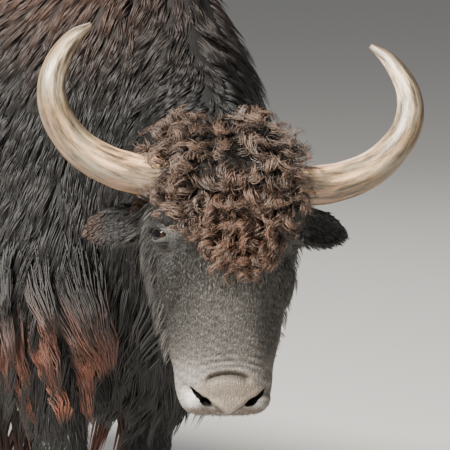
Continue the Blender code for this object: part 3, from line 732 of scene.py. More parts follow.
def paint_skin(skin):
    """Markings, with painted shade on the skin under the coat, in the hollow and creases over the muzzle and
    in the seam below the nose pad, painted light on the pale lips and a painted highlight on the pad's rim;
    darker bare skin at the eyes, nostrils and mouth, and a mask of the bare muzzle.
    """
    points = of_vertices(skin.data, "co")
    across, down, out = head_places(points)
    wide = np.abs(across)
    below = past_pad(across, down)
    colours, _ = markings(points)
    face = on_the_face(across, down, out)
    # painted shade under the coat: the skin is darkened so that the gaps between strands read as shadow,
    # less on the face and not on the bare muzzle
    colours = colours * (0.25 + 0.25 * face + 0.50 * face * ease(down, 0.265, 0.305))[:, None]
    # the pale lips: their own colour, brightened as painted light, and much paler on the head's right, where
    # the key light falls, than on its shaded left
    for side, pale_and_lit in ((1, 0.15), (-1, 0.80)):
        reach = from_eye(points, side)
        colours = blend_colours(colours, LID_GREY, 0.6 * (1 - ease(reach, 0.024, 0.034)))
        colours = blend_colours(colours, SKIN_BLACK, 1 - ease(reach, 0.0212, 0.0222))
        lip = hump(across, side * 0.055, 0.014) * hump(down, 0.350, 0.016) * ease(below, 0.0, 0.004)
        colours = blend_colours(colours, LIP_PALE_AND_LIT, pale_and_lit * lip * ease(out, -0.06, -0.02))
    bare = nose_pad(across, down, out)
    colours = blend_colours(colours, PAD_GREY, bare * 0.9)
    front = ease(out, -0.06, -0.03)
    # painted shade in the hollow above the nose pad
    colours = blend_colours(colours, PAD_GREY * 0.28, 0.95 * (hollow_share(across, down) * front))
    # painted shade in the creases over the muzzle
    colours = colours * (1 - 0.45 * creases(across, down) * front)[:, None]
    # painted highlight on the ridge along the nose pad's lower edge
    rim = hump(below, -0.003, 0.004) * ease(out, -0.04, 0.0) * (1 - ease(wide, 0.05, 0.06))
    colours = blend_colours(colours, PAD_GREY * 1.6, 0.6 * rim)
    # painted shadow in the groove under the nose pad's lower edge
    seam_shadow = hump(below, 0.0035, 0.0030) * (1 - ease(wide, 0.040, 0.055)) * ease(out, -0.05, -0.01)
    colours = colours * (1 - 0.75 * seam_shadow)[:, None]
    chin = ease(down, 0.362, 0.372) * ease(below, 0.002, 0.006) * ease(out, -0.13, -0.11)
    colours = blend_colours(colours, CHIN_BROWN, 0.8 * chin)
    # inside the nostrils near black: their dark skin with painted shade in the openings
    colours = blend_colours(colours, SKIN_BLACK * 0.6, inside_nostril(points).astype(float))
    paint(skin.data, "coat", colours)
    store(skin.data, "bare", bare)


# Roots of the coat


class Ground:
    """The skin as something to grow from: the nearest place on it and its smooth way out."""

    def __init__(self, made):
        mesh = made.data
        mesh.calc_loop_triangles()
        corners = np.empty(len(mesh.loop_triangles) * 3, np.int32)
        mesh.loop_triangles.foreach_get("vertices", corners)
        self.corners = corners.reshape(-1, 3)
        self.points = of_vertices(mesh, "co")
        self.out_ways = of_vertices(mesh, "normal")
        self.tree = BVHTree.FromPolygons(self.points.tolist(), self.corners.tolist())

    def nearest(self, places, limit):
        """Each place's foot on the skin, the way out there, and whether it is within the limit."""
        feet = np.array(places)
        ways = np.zeros_like(feet)
        kept = np.zeros(len(feet), bool)
        for i, place in enumerate(places):
            foot, _, index, apart = self.tree.find_nearest(Vector(place))
            if foot is not None and apart < limit:
                kept[i] = True
                feet[i] = foot
                ways[i] = self.out_ways[self.corners[index]].mean(0)
        return feet, unit(ways), kept

    def raise_above(self, path, clear):
        """Moves the points of strands that dip under the skin back over it."""
        for k in range(1, path.shape[1]):
            feet, ways, _ = self.nearest(path[:, k], 1.0)
            height = np.sum((path[:, k] - feet) * ways, 1)
            path[:, k] += ways * np.maximum(clear - height, 0)[:, None]

    def spread(self, count, weight, unwrap, draw):
        """Random places on the skin, the ways out there and their places on an unwrap."""
        a, b, c = (self.points[self.corners[:, k]] for k in range(3))
        share = np.linalg.norm(np.cross(b - a, c - a), axis=1) * np.maximum(weight((a + b + c) / 3), 0)
        ends = self.corners[draw.choice(len(share), count, p=share / share.sum())]
        s, t = draw.random((2, count))
        over = s + t > 1
        s, t = np.where(over, 1 - s, s), np.where(over, 1 - t, t)
        part = np.stack([1 - s - t, s, t], 1)[..., None]
        root = (self.points[ends] * part).sum(1)
        return root, unit((self.out_ways[ends] * part).sum(1)), unwrap(root)


def scatter(name, count, weight, draw):
    """Random places over a form, even by area times a weight, with their places on its unwrap."""
    rings = FORMS[name]
    rows, count_round = rings.shape[:2]
    wrapped = np.concatenate([rings, rings[:, :1]], 1)
    a, b = wrapped[:-1, :-1], wrapped[1:, :-1]
    c, d = wrapped[:-1, 1:], wrapped[1:, 1:]
    area = np.linalg.norm(np.cross(b - a, c - a), axis=2)
    middle = (a + b + c + d) / 4
    share = area.ravel() * np.maximum(weight(middle.reshape(-1, 3)), 0)
    if share.sum() <= 0:
        return np.zeros((0, 3)), np.zeros((0, 2))
    cells = draw.choice(len(share), count, p=share / share.sum())
    i, j = np.divmod(cells, count_round)
    u, v = draw.random((2, count))
    s, t = u[:, None], v[:, None]
    places = (
        wrapped[i, j] * (1 - s) * (1 - t)
        + wrapped[i + 1, j] * s * (1 - t)
        + wrapped[i, j + 1] * (1 - s) * t
        + wrapped[i + 1, j + 1] * s * t
    )
    unwrap = np.stack([(i + u) / (rows - 1), (j + v) / count_round], 1)
    return places, unwrap


def body_unwrap(places):
    """Along the body and round it."""
    bearing = np.arctan2(places[:, 0], places[:, 2] - 0.92) / (2 * math.pi) + 0.5
    return np.stack([np.clip((places[:, 1] + 0.95) / 2.5, 0, 1), bearing], 1)


def head_unwrap(places):
    """Down the head and round it."""
    across, down, out = head_places(places)
    bearing = np.arctan2(across, out + 0.06) / (2 * math.pi) + 0.5
    return np.stack([np.clip((down + 0.1) / 0.5, 0, 1), bearing], 1)


def unit(vectors):
    return vectors / np.maximum(np.linalg.norm(vectors, axis=-1, keepdims=True), 1e-9)


def flat_on(ways, out_ways):
    """The part of each direction that lies along the skin, or leaves it."""
    leave = np.sum(ways * out_ways, 1, keepdims=True)
    return unit(ways - out_ways * leave * np.where(leave < 0, 1.0, 0.75))


# Strands

STRAND_DEPTH = 0.55
OFF_FLOOR = 0.012


def spine(root, out_way, way, length, stations, lift, drop):
    """The curve of each strand: it leaves the skin, lies along `way` and turns down."""
    t = np.linspace(0, 1, stations)[None, :, None]
    course = way[:, None] + out_way[:, None] * lift * (1 - t) ** 1.5 + np.array(DOWN) * drop * t
    step = unit(course) * (length / (stations - 1))[:, None, None]
    return root[:, None] + np.cumsum(step, 1) - step


def roots(spec, forms, ground, draw):
    """Where each strand grows, the way out of the skin there and its place on the unwrap."""
    if not forms:
        return ground.spread(spec["count"], spec["where"], spec["unwrap"], draw)
    places, unwraps = [], []
    for tile, form in enumerate(forms):
        found, unwrap = scatter(form, spec["count"] // len(forms), spec["where"], draw)
        places.append(found)
        unwraps.append((unwrap + (tile, 0)) / (len(forms), 1))
    places, unwraps = np.concatenate(places), np.concatenate(unwraps)
    root, out_way, kept = ground.nearest(places, spec["within"])
    return root[kept], out_way[kept], unwraps[kept]


def leaders(root, share, draw):
    """For each strand, the strand whose lock it follows."""
    lead = draw.permutation(len(root))[: max(1, int(len(root) * share))]
    tree = KDTree(len(lead))
    for i, g in enumerate(lead):
        tree.insert(Vector(root[g]), i)
    tree.balance()
    return lead[np.array([tree.find(Vector(p))[1] for p in root])]


def cut_short(path, t, draw):
    """Each strand ends a little before the full length of its lock."""
    stations = len(t)
    place = t[None] * draw.uniform(0.82, 1.0, len(path))[:, None] * (stations - 1)
    low = np.minimum(place.astype(int), stations - 2)
    rest = (place - low)[..., None]
    row = np.arange(len(path))[:, None]
    return path[row, low] * (1 - rest) + path[row, low + 1] * rest


def cross_ways(path, out_way):
    """Across each strand and up from it, along its whole length."""
    tangent = unit(np.gradient(path, axis=1))
    side = unit(np.cross(tangent, out_way[:, None]) + 1e-6)
    return side, np.cross(side, tangent)


def lock_paths(root, out_way, follows, spec, ground, draw):
    """The middle line of each strand, gathered into its lock and waved."""
    count, stations = len(root), spec["stations"]
    t = np.linspace(0, 1, stations)
    way = flat_on(spec["way"](root, out_way), out_way)
    way = unit(way + spec["jitter"] * np.clip(draw.normal(0, 1, (count, 3)), -1.6, 1.6))
    length = spec["length"](root) * draw.uniform(0.80, 1.15, count)
    path = spine(root, out_way, way, length, stations, spec["lift"], spec["drop"])
    pull = 1 - spec["gather"] * t**1.3
    gathered = path[follows] + (root - root[follows])[:, None] * pull[None, :, None]
    share = spec["follow"]
    path = cut_short(path * (1 - share) + gathered * share, t, draw)
    swing, turns = spec["wave"]
    phase = draw.uniform(0, 2 * math.pi, count)
    if spec["lock_wave"]:
        phase = phase[follows] + draw.normal(0, spec["lock_wave"], count)
    spin = (2 * math.pi * turns * t[None] + phase[:, None])[..., None]
    side, up = cross_ways(path, out_way)
    grow = (t**0.7)[None, :, None] * swing
    path = path + grow * (side * np.sin(spin) + up * np.cos(spin) * spec["coil"])
    path = path - out_way[:, None] * spec["sink"]
    if spec["clear"]:
        ground.raise_above(path, spec["clear"])
    path[..., 2] = np.maximum(path[..., 2], OFF_FLOOR)
    return path


def strands(name, spec, ground, seed, forms):
    """One joined mesh of tapered strands. The coat's plans say what a spec holds."""
    draw = np.random.default_rng(seed)
    root, out_way, unwraps = roots(spec, forms, ground, draw)
    follows = leaders(root, spec["guides"], draw)
    path = lock_paths(root, out_way, follows, spec, ground, draw)
    base, tip = spec["colour"](root, follows, draw)
    count, vary, uneven = len(root), spec["vary"], spec["uneven"]
    shade = draw.uniform(1 - vary, 1 + vary, count) * draw.uniform(1 - uneven, 1 + uneven, count)[follows]
    shade = shade[:, None]
    half = spec["width"] * draw.uniform(0.75, 1.25, count)
    if spec["fine"]:
        half = half * spec["fine"](root)
    # root_shade darkens each root as painted shade, deep in the coat
    tones = (base * shade * spec["root_shade"], tip * shade * spec["tip_gain"], spec["tip_power"])
    return hair_piece(name, path, out_way, half, STRAND_DEPTH, tones, unwraps)


def hair_piece(name, path, out_way, half, thick, tones, unwraps):
    """A mesh of three-sided tapered strands along the paths, shaded from root to tip."""
    count, stations = path.shape[:2]
    t = np.linspace(0, 1, stations)
    side, up = cross_ways(path, out_way)
    taper = np.maximum(0.55 + 1.3 * t - 1.55 * t**2, 0.12) if stations > 2 else np.ones(2)
    wide = half[:, None, None] * taper[None, :, None]
    ring = np.stack([path + side * wide, path - side * wide, path + up * wide * thick], 2)
    verts = np.concatenate([ring[:, :-1].reshape(count, -1, 3), path[:, -1:]], 1)
    each = verts.shape[1]
    faces = strand_faces(stations)
    mesh = joined_mesh(name, verts.reshape(-1, 3), faces, each, count)
    base, tip, power = tones
    tone = np.concatenate([np.repeat(t[:-1], 3), [1.0]])[None, :, None] ** power
    colours = base[:, None] * (1 - tone) + tip[:, None] * tone
    paint(mesh, "coat", colours.reshape(-1, 3))
    bake_patches(mesh, unwraps, faces, stations)
    return linked(name, mesh)


def strand_faces(stations):
    """Triangles of one strand: rings of three, closed at the root and ending in a point."""
    faces = [(0, 1, 2)]
    for ring in range(stations - 2):
        for k in range(3):
            a, b = ring * 3 + k, ring * 3 + (k + 1) % 3
            faces += [(b, a, a + 3), (b, a + 3, b + 3)]
    last = (stations - 2) * 3
    tip = last + 3
    for k in range(3):
        faces.append((last + (k + 1) % 3, last + k, tip))
    return np.array(faces)


def joined_mesh(name, verts, faces, each, count):
    """A mesh of many copies of the same faces."""
    mesh = bpy.data.meshes.new(name)
    every = (faces[None] + (np.arange(count) * each)[:, None, None]).reshape(-1, 3)
    mesh.vertices.add(len(verts))
    mesh.vertices.foreach_set("co", verts.astype(np.float32).ravel())
    mesh.loops.add(every.size)
    mesh.loops.foreach_set("vertex_index", every.astype(np.int32).ravel())
    mesh.polygons.add(len(every))
    mesh.polygons.foreach_set("loop_start", np.arange(len(every), dtype=np.int32) * 3)
    mesh.polygons.foreach_set("loop_total", np.full(len(every), 3, np.int32))
    mesh.update(calc_edges=True)
    mesh.shade_smooth()
    return mesh


def bake_patches(mesh, unwraps, faces, stations):
    """The OFBake map: a small patch for each strand at its root's place on the unwrap."""
    patch_size = 0.003
    across = np.concatenate([np.tile((0.0, 0.5, 1.0), stations - 1), [0.5]])
    along = np.concatenate([np.repeat(np.linspace(0, 1, stations)[:-1], 3), [1.0]])
    corner = np.stack([across, along], 1)[faces.ravel()] * patch_size
    start = np.clip(unwraps, 0.001, 0.996)
    layer = mesh.uv_layers.new(name="OFBake")
    spots = start[:, None] + corner[None]
    layer.uv.foreach_set("vector", spots.astype(np.float32).ravel())


# Materials


def feed(tree, socket, value):
    """Links the socket to another node's output, or gives it a value."""
    if isinstance(value, bpy.types.NodeSocket):
        tree.links.new(value, socket)
    else:
        socket.default_value = value


def node(tree, kind, out=0, settings=(), **inputs):
    """The output of a new node, after its settings and its inputs are given."""
    made = tree.nodes.new(kind)
    for key, value in dict(settings).items():
        setattr(made, key, value)
    for key, value in inputs.items():
        feed(tree, made.inputs[key.replace("_", " ")], value)
    return made.outputs[out]


def reckoned(tree, operation, first, second):
    """Two numbers put together."""
    made = tree.nodes.new("ShaderNodeMath")
    made.operation = operation
    feed(tree, made.inputs[0], first)
    feed(tree, made.inputs[1], second)
    return made.outputs[0]


def read_attribute(tree, name, out="Fac"):
    return node(tree, "ShaderNodeAttribute", out, dict(attribute_name=name))


def fresh_material(name, roughness, specular=0.5):
    """A material, its tree and the inputs of its shader."""
    made = bpy.data.materials.new(name)
    made.use_nodes = True
    shader = made.node_tree.nodes["Principled BSDF"].inputs
    shader["Roughness"].default_value = roughness
    shader["Specular IOR Level"].default_value = specular
    return made, made.node_tree, shader


def mottle_group():
    """Soft light and dark: a value round 1 that varies over the surface."""
    group = bpy.data.node_groups.new("mottle", "ShaderNodeTree")
    socket = group.interface.new_socket
    socket("Vector", in_out="INPUT", socket_type="NodeSocketVector")
    socket("Scale", in_out="INPUT", socket_type="NodeSocketFloat").default_value = 30.0
    socket("Amount", in_out="INPUT", socket_type="NodeSocketFloat").default_value = 0.3
    socket("Value", in_out="OUTPUT", socket_type="NodeSocketFloat")
    given = group.nodes.new("NodeGroupInput").outputs
    noise = node(group, "ShaderNodeTexNoise", "Fac", Vector=given["Vector"], Scale=given["Scale"], Detail=4)
    swing = reckoned(group, "MULTIPLY", reckoned(group, "SUBTRACT", noise, 0.5), given["Amount"])
    end = group.nodes.new("NodeGroupOutput")
    feed(group, end.inputs["Value"], reckoned(group, "ADD", swing, 1.0))
    return group


MOTTLE = mottle_group()


def object_place(tree):
    return node(tree, "ShaderNodeTexCoord", "Object")


def mottled(tree, colour, scale, amount):
    """The colour times a soft light and dark."""
    group = dict(node_tree=MOTTLE)
    soft = node(tree, "ShaderNodeGroup", 0, group, Vector=object_place(tree), Scale=scale, Amount=amount)
    return node(tree, "ShaderNodeVectorMath", 0, dict(operation="SCALE"), Vector=colour, Scale=soft)


def stretched_noise(tree, spot, stretch, scale, detail, roughness=0.5):
    """A noise drawn out along one way."""
    lie = node(tree, "ShaderNodeMapping", Vector=spot, Scale=stretch)
    grain = dict(Scale=scale, Detail=detail, Roughness=roughness)
    return node(tree, "ShaderNodeTexNoise", "Fac", Vector=lie, **grain)


def bumped(tree, shader, height, strength, distance):
    """Gives the shader a relief."""
    bump = node(tree, "ShaderNodeBump", Height=height, Strength=strength, Distance=distance)
    feed(tree, shader["Normal"], bump)


def ramp(tree, socket, stops):
    """A colour read from stops along a value."""
    made = tree.nodes.new("ShaderNodeValToRGB")
    elements = made.color_ramp.elements
    while len(elements) < len(stops):
        elements.new(0.5)
    for element, (place, colour) in zip(elements, stops):
        element.position = place
        element.color = (*colour, 1)
    feed(tree, made.inputs["Fac"], socket)
    return made.outputs["Color"]


def mixed(tree, kind, share, first, second):
    """Two colours mixed; the share and the second are values or outputs."""
    if isinstance(second, tuple):
        second = (*second, 1)
    settings = dict(data_type="RGBA", blend_type=kind)
    return node(tree, "ShaderNodeMix", "Result", settings, Factor=share, A=first, B=second)


def coat_material(name, roughness, specular):
    made, tree, shader = fresh_material(name, roughness, specular)
    feed(tree, shader["Base Color"], mottled(tree, read_attribute(tree, "coat", "Color"), 60, 0.5))
    return made


def skin_material():
    """Short fur, with finer, smoother skin where the nose is bare."""
    made, tree, shader = fresh_material("short_fur", 0.75, 0.3)
    colour = mottled(tree, read_attribute(tree, "coat", "Color"), 520, 2.0)
    feed(tree, shader["Base Color"], mottled(tree, colour, 60, 0.5))
    bare = read_attribute(tree, "bare")
    feed(tree, shader["Roughness"], node(tree, "ShaderNodeMapRange", Value=bare, To_Min=0.75, To_Max=0.42))
    bumped(tree, shader, stretched_noise(tree, object_place(tree), (1, 1, 0.25), 520.0, 3.0), 0.80, 0.003)
    return made


def horn_material():
    """Ivory with broken grey streaks, tan at the root, grey on the bend, and underneath a dark ochre that is
    partly its tone and partly painted shade.
    """
    made, tree, shader = fresh_material("horn", 0.34, 0.5)
    along = read_attribute(tree, "along")
    sine, cosine = read_attribute(tree, "round_sin"), read_attribute(tree, "round_cos")
    spot = node(tree, "ShaderNodeCombineXYZ", X=sine, Y=cosine, Z=along)

    def grain(stretch, detail, roughness):
        return stretched_noise(tree, spot, stretch, 1.0, detail, roughness)

    colour = ramp(tree, along, [
        (0.0, (0.52, 0.300, 0.170)), (0.20, (0.70, 0.450, 0.275)), (0.36, (0.48, 0.34, 0.210)),
        (0.52, (0.21, 0.155, 0.090)), (0.68, (0.68, 0.56, 0.400)), (0.90, (0.70, 0.56, 0.400)),
        (1.0, (0.20, 0.15, 0.11)),
    ])
    black, pale = (0, 0, 0), (0.85, 0.85, 0.85)
    # painted shade: the underside of the curve is darkened towards a dark ochre
    under = ramp(tree, read_attribute(tree, "under"), [(0.05, black), (0.62, pale)])
    colour = mixed(tree, "MIX", under, colour, (0.120, 0.072, 0.038))
    cloud = ramp(tree, grain((1.3, 1.3, 5), 5.0, 0.6), [(0.46, black), (0.58, pale)])
    colour = mixed(tree, "MIX", cloud, colour, (0.150, 0.135, 0.100))
    veins = grain((3.4, 3.4, 6), 9.0, 0.72)
    dark = ramp(tree, veins, [
        (0.40, (0.16, 0.13, 0.10)), (0.48, (0.62, 0.56, 0.49)), (0.57, (1.10, 1.06, 1.00)),
    ])
    colour = mixed(tree, "MULTIPLY", 0.92, colour, dark)
    feed(tree, shader["Base Color"], mottled(tree, colour, 45, 0.6))
    bumped(tree, shader, grain((9, 9, 22), 6.0, 0.6), 0.40, 0.0016)
    return made


def hoof_material():
    made, tree, shader = fresh_material("hoof_black", 0.5, 0.4)
    rings = stretched_noise(tree, object_place(tree), (1, 1, 8), 30.0, 4.0)
    shades = [(0.3, (0.012, 0.011, 0.010)), (0.7, (0.060, 0.052, 0.044))]
    feed(tree, shader["Base Color"], ramp(tree, rings, shades))
    bumped(tree, shader, rings, 0.4, 0.002)
    return made


def eye_material():
    """A dark brown iris with a wide slot pupil, read from the ball's own place attributes."""
    made, tree, shader = fresh_material("eye_brown", 0.09, 0.3)
    colour = ramp(tree, read_attribute(tree, "off_gaze"), [
        (0.0, (0.002, 0.002, 0.003)), (0.24, (0.003, 0.002, 0.003)), (0.30, (0.017, 0.009, 0.006)),
        (0.58, (0.011, 0.007, 0.005)), (0.64, (0.008, 0.005, 0.004)), (0.75, (0.020, 0.014, 0.012)),
    ])
    feed(tree, shader["Base Color"], mottled(tree, colour, 300, 0.6))
    return made


# Separate pieces


def horn(word):
    """One horn, with its worn rings; every vertex keeps how far it faces away from the hollow of the
    curve. A station is its share of the horn's reach, its share of the rise, its place out of the
    face and its radius."""
    side, across, up = SIDES[word], HORN_REACH[word], HORN_RISE
    lower, level = math.sin(HORN_ROLL), math.cos(HORN_ROLL)
    path = [
        (0.24, 0.02, -0.030, 0.032), (0.44, -0.01, -0.034, 0.0325), (0.64, 0.04, -0.036, 0.031),
        (0.82, 0.16, -0.034, 0.0285), (0.945, 0.35, -0.028, 0.0255), (0.985, 0.54, -0.024, 0.0225),
        (0.955, 0.73, -0.028, 0.0185), (0.870, 0.90, -0.040, 0.0125), (0.775, 1.00, -0.052, 0.0045),
    ]
    stations = []
    for reach, rise, depth, radius in path:
        beside, down = side * reach * across, -rise * up
        place = on_head(beside * level - down * lower, down * level + beside * lower, depth)
        stations.append((*place, radius, radius))
    count = 48
    rings = tube_form(stations, rings=150, count=count, facing=FACE)
    middle = rings.mean(1, keepdims=True)
    share = np.linspace(0, 1, len(rings))[:, None, None]
    turn = np.linspace(0, 2 * math.pi, count, endpoint=False)[None, :, None]
    worn = 0.010 * np.sin(share * 70 + 0.6 * np.sin(turn * 2)) * (1 - ease(share, 0.1, 0.5))
    worn = worn + 0.012 * np.sin(turn * 3 + share * 5) + 0.006 * np.sin(turn * 7 - share * 9)
    made = loft("horn", middle + (rings - middle) * (1 + worn))
    sine = np.empty(len(made.data.vertices), np.float32)
    made.data.attributes["round_sin"].data.foreach_get("value", sine)
    # the share of the underside, which the horn's material darkens as painted shade
    store(made.data, "under", -side * sine)
    return made


def eyeball(side):
    """The ball, with the swell of its cornea along the gaze."""
    centre = np.array(eye_centre(side))
    made = ellipsoid("eye", Vector(centre), HEAD_AXES, (EYE_RADIUS,) * 3, segments=64, rings=40)
    gaze, along, up = (np.array(x) for x in eye_axes(side))
    apart = (of_vertices(made.data, "co") - centre) / EYE_RADIUS
    off = np.arccos(np.clip(apart @ gaze, -1, 1)) / (math.pi / 2)
    slot = np.hypot(apart @ along * 0.62, apart @ up * 1.5)
    swell = 1 + 0.045 * (1 - ease(off, 0.35, 0.62))
    move_vertices(made.data, centre + apart * EYE_RADIUS * swell[:, None])
    pupil = np.minimum(off, np.maximum(slot, off * 0.6))
    store(made.data, "off_gaze", np.where(apart @ gaze > 0, pupil, off))
    return made


def claw(half, x, y):
    """One half of a cloven hoof, flat on the floor, rounded at its edges."""
    width, toe, heel, split = 0.047, 0.086, 0.050, 0.0015
    points_round, levels = 40, 12
    rings = []
    for height in np.linspace(0, 1, levels):
        narrow, short, crease = 1 - 0.22 * height, 1 - 0.34 * height, 1 - 0.012 * math.sin(height * 26)
        ring = []
        for i in range(points_round):
            turn = 2 * math.pi * (i + 0.5) / points_round
            across, ahead = math.cos(turn), math.sin(turn)
            across_half = across * half
            wide = half * (split + width * (0.42 + (0.42 if across_half < 0 else 0.58) * across_half))
            wide = half * split + (wide - half * split) * narrow
            long = -ahead * (toe if ahead > 0 else heel) * short
            place = (x + wide * crease, y + long * crease + 0.008 * height, height * HOOF_HEIGHT)
            ring.append(Vector(place))
        rings.append(ring)
    made = loft("claw", rings)
    bevel = made.modifiers.new("rounded", "BEVEL")
    bevel.width = 0.003
    bevel.segments = 2
    bevel.limit_method = "ANGLE"
    bevel.angle_limit = math.radians(50)
    return apply_modifiers(made)


def finish(made, look, slot, *replaced):
    """Moves a piece into the frame, gives it its material and hangs it on the root body."""
    made.data.transform(Matrix.Translation(SHIFT))
    made.data.materials.clear()
    made.data.materials.append(look)
    made.data.shade_smooth()
    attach(made, "root")
    if replaced:
        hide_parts(*replaced)
    return made


# Which way the coat lies


def toward(vector):
    return lambda places, out_ways: np.tile(np.array(vector, float), (len(places), 1))


def body_way(places, out_ways):
    """Back along the spine, and down the flanks."""
    x, y, _ = places.T
    steep = ease(np.abs(out_ways[:, 0]), 0.2, 0.8)
    front = 1 - ease(y, -0.20, 0.25)
    apart = np.tanh(x / 0.06)
    return np.stack([apart * 0.12 * front, 0.75 - 0.60 * front, -0.25 - 0.9 * steep - 0.6 * front], 1)


def fore_way(places, out_ways):
    """The lie of the fore quarters, turning down the neck."""
    neck = (1 - ease(places[:, 1], -0.32, -0.12))[:, None]
    return body_way(places, out_ways) * (1 - neck) + np.array((0.15, 0.45, -1.0)) * neck


def fringe_way(places, out_ways):
    """Down and forward across each foreleg, straight down the thigh."""
    x, y, _ = places.T
    fore = 1 - ease(y, 0.4, 0.6)
    return np.stack([-np.sign(x) * 0.42 * fore, 0.08 - 0.62 * fore, -np.ones(len(x))], 1)


def face_way(places, out_ways):
    """Down the face, parting to its sides."""
    across, _, out = head_places(places)
    sideways = np.outer(np.sign(across) * ease(np.abs(across), 0.03, 0.10), LEFT)
    return np.array(MUZZLEWARD)[None] + sideways * 0.35 - np.outer(ease(-out, 0.0, 0.1), FACE) * 0.5


def side_way(aside, down, out):
    """Off to its own side of the head, down it and out of the face, in these shares."""

    def way(places, out_ways):
        apart = np.sign(head_places(places)[0]) * aside
        return np.outer(apart, LEFT) + np.array(MUZZLEWARD) * down + np.array(FACE) * out

    return way


def mop_way(places, out_ways):
    """Out from the middle of the crown."""
    across, down, _ = head_places(places)
    return np.outer(across * 6, LEFT) + np.outer(down * 6 + 0.6, MUZZLEWARD)


# Where it grows


def between(low=-9.0, high=9.0):
    """1 between two heights."""
    return lambda places: (places[:, 2] > low) & (places[:, 2] < high)


def torso_weight(sign):
    """The back and barrel behind the finer coat of the fore quarters."""

    def weight(places):
        x, y, z = places.T
        return ((x * sign >= 0) & (z > 0.60)) * ease(y, 0.25, 0.65)

    return weight


def off_head(places):
    """0 on the mop, the face and the ears, 1 elsewhere."""
    across, down, out = head_places(places)
    head = is_mop(places) | ((down > 0.0) & (out > -0.16) & (np.abs(across) < 0.26))
    return 1.0 - head


def fore_weight(low, high, front, back=2.0):
    """The fine coat of the fore quarters between two heights and two places along the body."""

    def weight(places):
        x, y, z = places.T
        near = 1.0 + 1.2 * (1 - ease(x, -0.10, 0.15))
        within = (z > low) & (z <= high) & (y > front) & (y <= back)
        return within * near * (1 - ease(y, 0.40, 0.75)) * off_head(places)

    return weight


def flank_weight(sign):
    """The side of the belly, where the skirt hangs."""

    def weight(places):
        x, y, z = places.T
        return (x * sign > 0.18) & (z < 0.86) & (z > 0.55) & (y > 0.05) & (y < 1.12)

    return weight


def brisket_weight(places):
    return (places[:, 2] < 0.80) & (places[:, 1] < 0.0)


def upper_foreleg(places):
    """The haired upper length, starting softly."""
    z = places[:, 2]
    return (z > 0.60) * (1 - ease(z, 0.80, 0.92))


def off_eyes(places, low, high):
    """0 at the eyes, 1 away from them."""
    share = np.ones(len(places))
    for side in SIDES.values():
        share *= ease(from_eye(places, side), low, high)
    return share


def face_weight(places):
    """The face outside the mop, the eyes, the nose pad and the nostrils, thinner on the muzzle."""
    across, down, out = head_places(places)
    open_skin = nose_pad(across, down, out) + inside_nostril(places, 1.35)
    grown = (~is_mop(places)) * (down > 0.0) * (0.15 + ease(out, -0.13, -0.05))
    velvet = 1 - 0.75 * ease(down, 0.275, 0.310)
    near = (np.abs(across) < 0.15) & (out > -0.19) & (down < 0.42)
    return np.maximum(1 - open_skin, 0) * grown * velvet * near * (off_eyes(places, 0.0226, 0.0236) > 0.5)


def cheek_weight(places):
    _, down, out = head_places(places)
    return (out < -0.02) * (down > 0.0) * (1 - ease(down, 0.20, 0.30))


def mop_weight(lower):
    """The mop above or below a line across the forehead."""
    return lambda places: is_mop(places) & ((head_places(places)[1] >= 0.02) == lower)


# How long it is


def level_length(length):
    return lambda places: np.full(len(places), length)


def longer_above(length, more, low, high):
    return lambda places: length + more * ease(places[:, 2], low, high)


def longer_below(length, more, low, high):
    return lambda places: length + more * (1 - ease(places[:, 2], low, high))


def uneven_length(length, change):
    return lambda places: length + change * ripple(places, 14, 7)


def patchy_length(length, more, low, high):
    """Long locks whose length grows with height and varies in patches."""

    def measure(places):
        patches = 1 + 0.3 * (ripple(places, 14, 7) - 1)
        return length + more * ease(places[:, 2], low, high) * patches

    return measure


def face_length(places):
    """Short on the muzzle and near the eyes, longer on the brow and the jaw."""
    _, down, out = head_places(places)
    length = 0.0052 + 0.0070 * (1 - ease(down, 0.12, 0.27)) + 0.012 * ease(-out, 0.06, 0.14)
    return length * (0.30 + 0.70 * off_eyes(places, 0.025, 0.044))


def ear_length(places):
    return 0.014 + 0.016 * (1 - ease(np.abs(head_places(places)[0]), 0.12, 0.17))


def mop_length(places):
    return 0.060 - 0.012 * ease(head_places(places)[1], 0.02, 0.12)


# Its colours, at the root and at the tip


def plain_colour(places, follows, draw):
    return markings(places)


def lock_colour(places, follows, draw):
    """Black locks, some with red-brown ends low on the fore quarters, and rusty ones behind."""
    base, _ = markings(places)
    fore = 1 - ease(places[:, 1], 0.30, 0.70)
    low = (1 - ease(places[:, 2], 0.72, 0.88)) * ease(np.abs(places[:, 0]), 0.135, 0.185)
    chosen = draw.uniform(0.0, 1.0, len(places))[follows]
    tip = blend_colours(base * 1.1, RUST_COAT, 0.35 * (1 - fore))
    return base, blend_colours(tip, RED_TIP, fore * low * ease(chosen, -0.35, 0.55))


def mop_colour(places, follows, draw):
    """Brown above, auburn tips in the lower middle, by the lock."""
    across, down, _ = head_places(places[follows])
    auburn = hump(across - 0.010, 0, 0.060) * hump(down, 0.100, 0.060)
    each = draw.uniform(-0.25, 0.25, len(places))[follows]
    patch = ripple(places[follows], 60, 5)
    base = blend_colours(MOP_BROWN, MOP_AUBURN, auburn * 0.35)
    tip = MOP_BROWN * (3.0 - 1.0 * ease(down, -0.02, 0.08))[:, None]
    return base, blend_colours(tip, MOP_AUBURN, auburn * 0.75 + 0.18 * patch + each + 0.12)


# Plans of the coat. A plan is a piece's name, the forms it grows on (none for the whole skin) and
# what it is like:
# - count, where (a weight over the skin), within (how far the skin may be from the form), unwrap;
# - way, length, width (half of it), fine (a factor on the width), stations, lift off the skin, drop,
#   jitter, sink (how deep the root goes), clear (how far it stays above the skin);
# - guides (the share that lead locks), gather, follow, wave (size and turns), coil, lock_wave;
# - colour, vary (from strand to strand), uneven (from lock to lock), root_shade (painted shade: darker
#   roots, where the coat shades itself), tip_gain, tip_power.
USUAL = dict(
    within=0.02, unwrap=body_unwrap, fine=None, drop=0.0, jitter=0.15, sink=0.004, clear=0.0, follow=0.8,
    wave=(0.0, 0.0), coil=0.5, lock_wave=0.0, colour=plain_colour, vary=0.28, uneven=0.20, root_shade=0.62,
    tip_gain=1.0, tip_power=1.5,
)


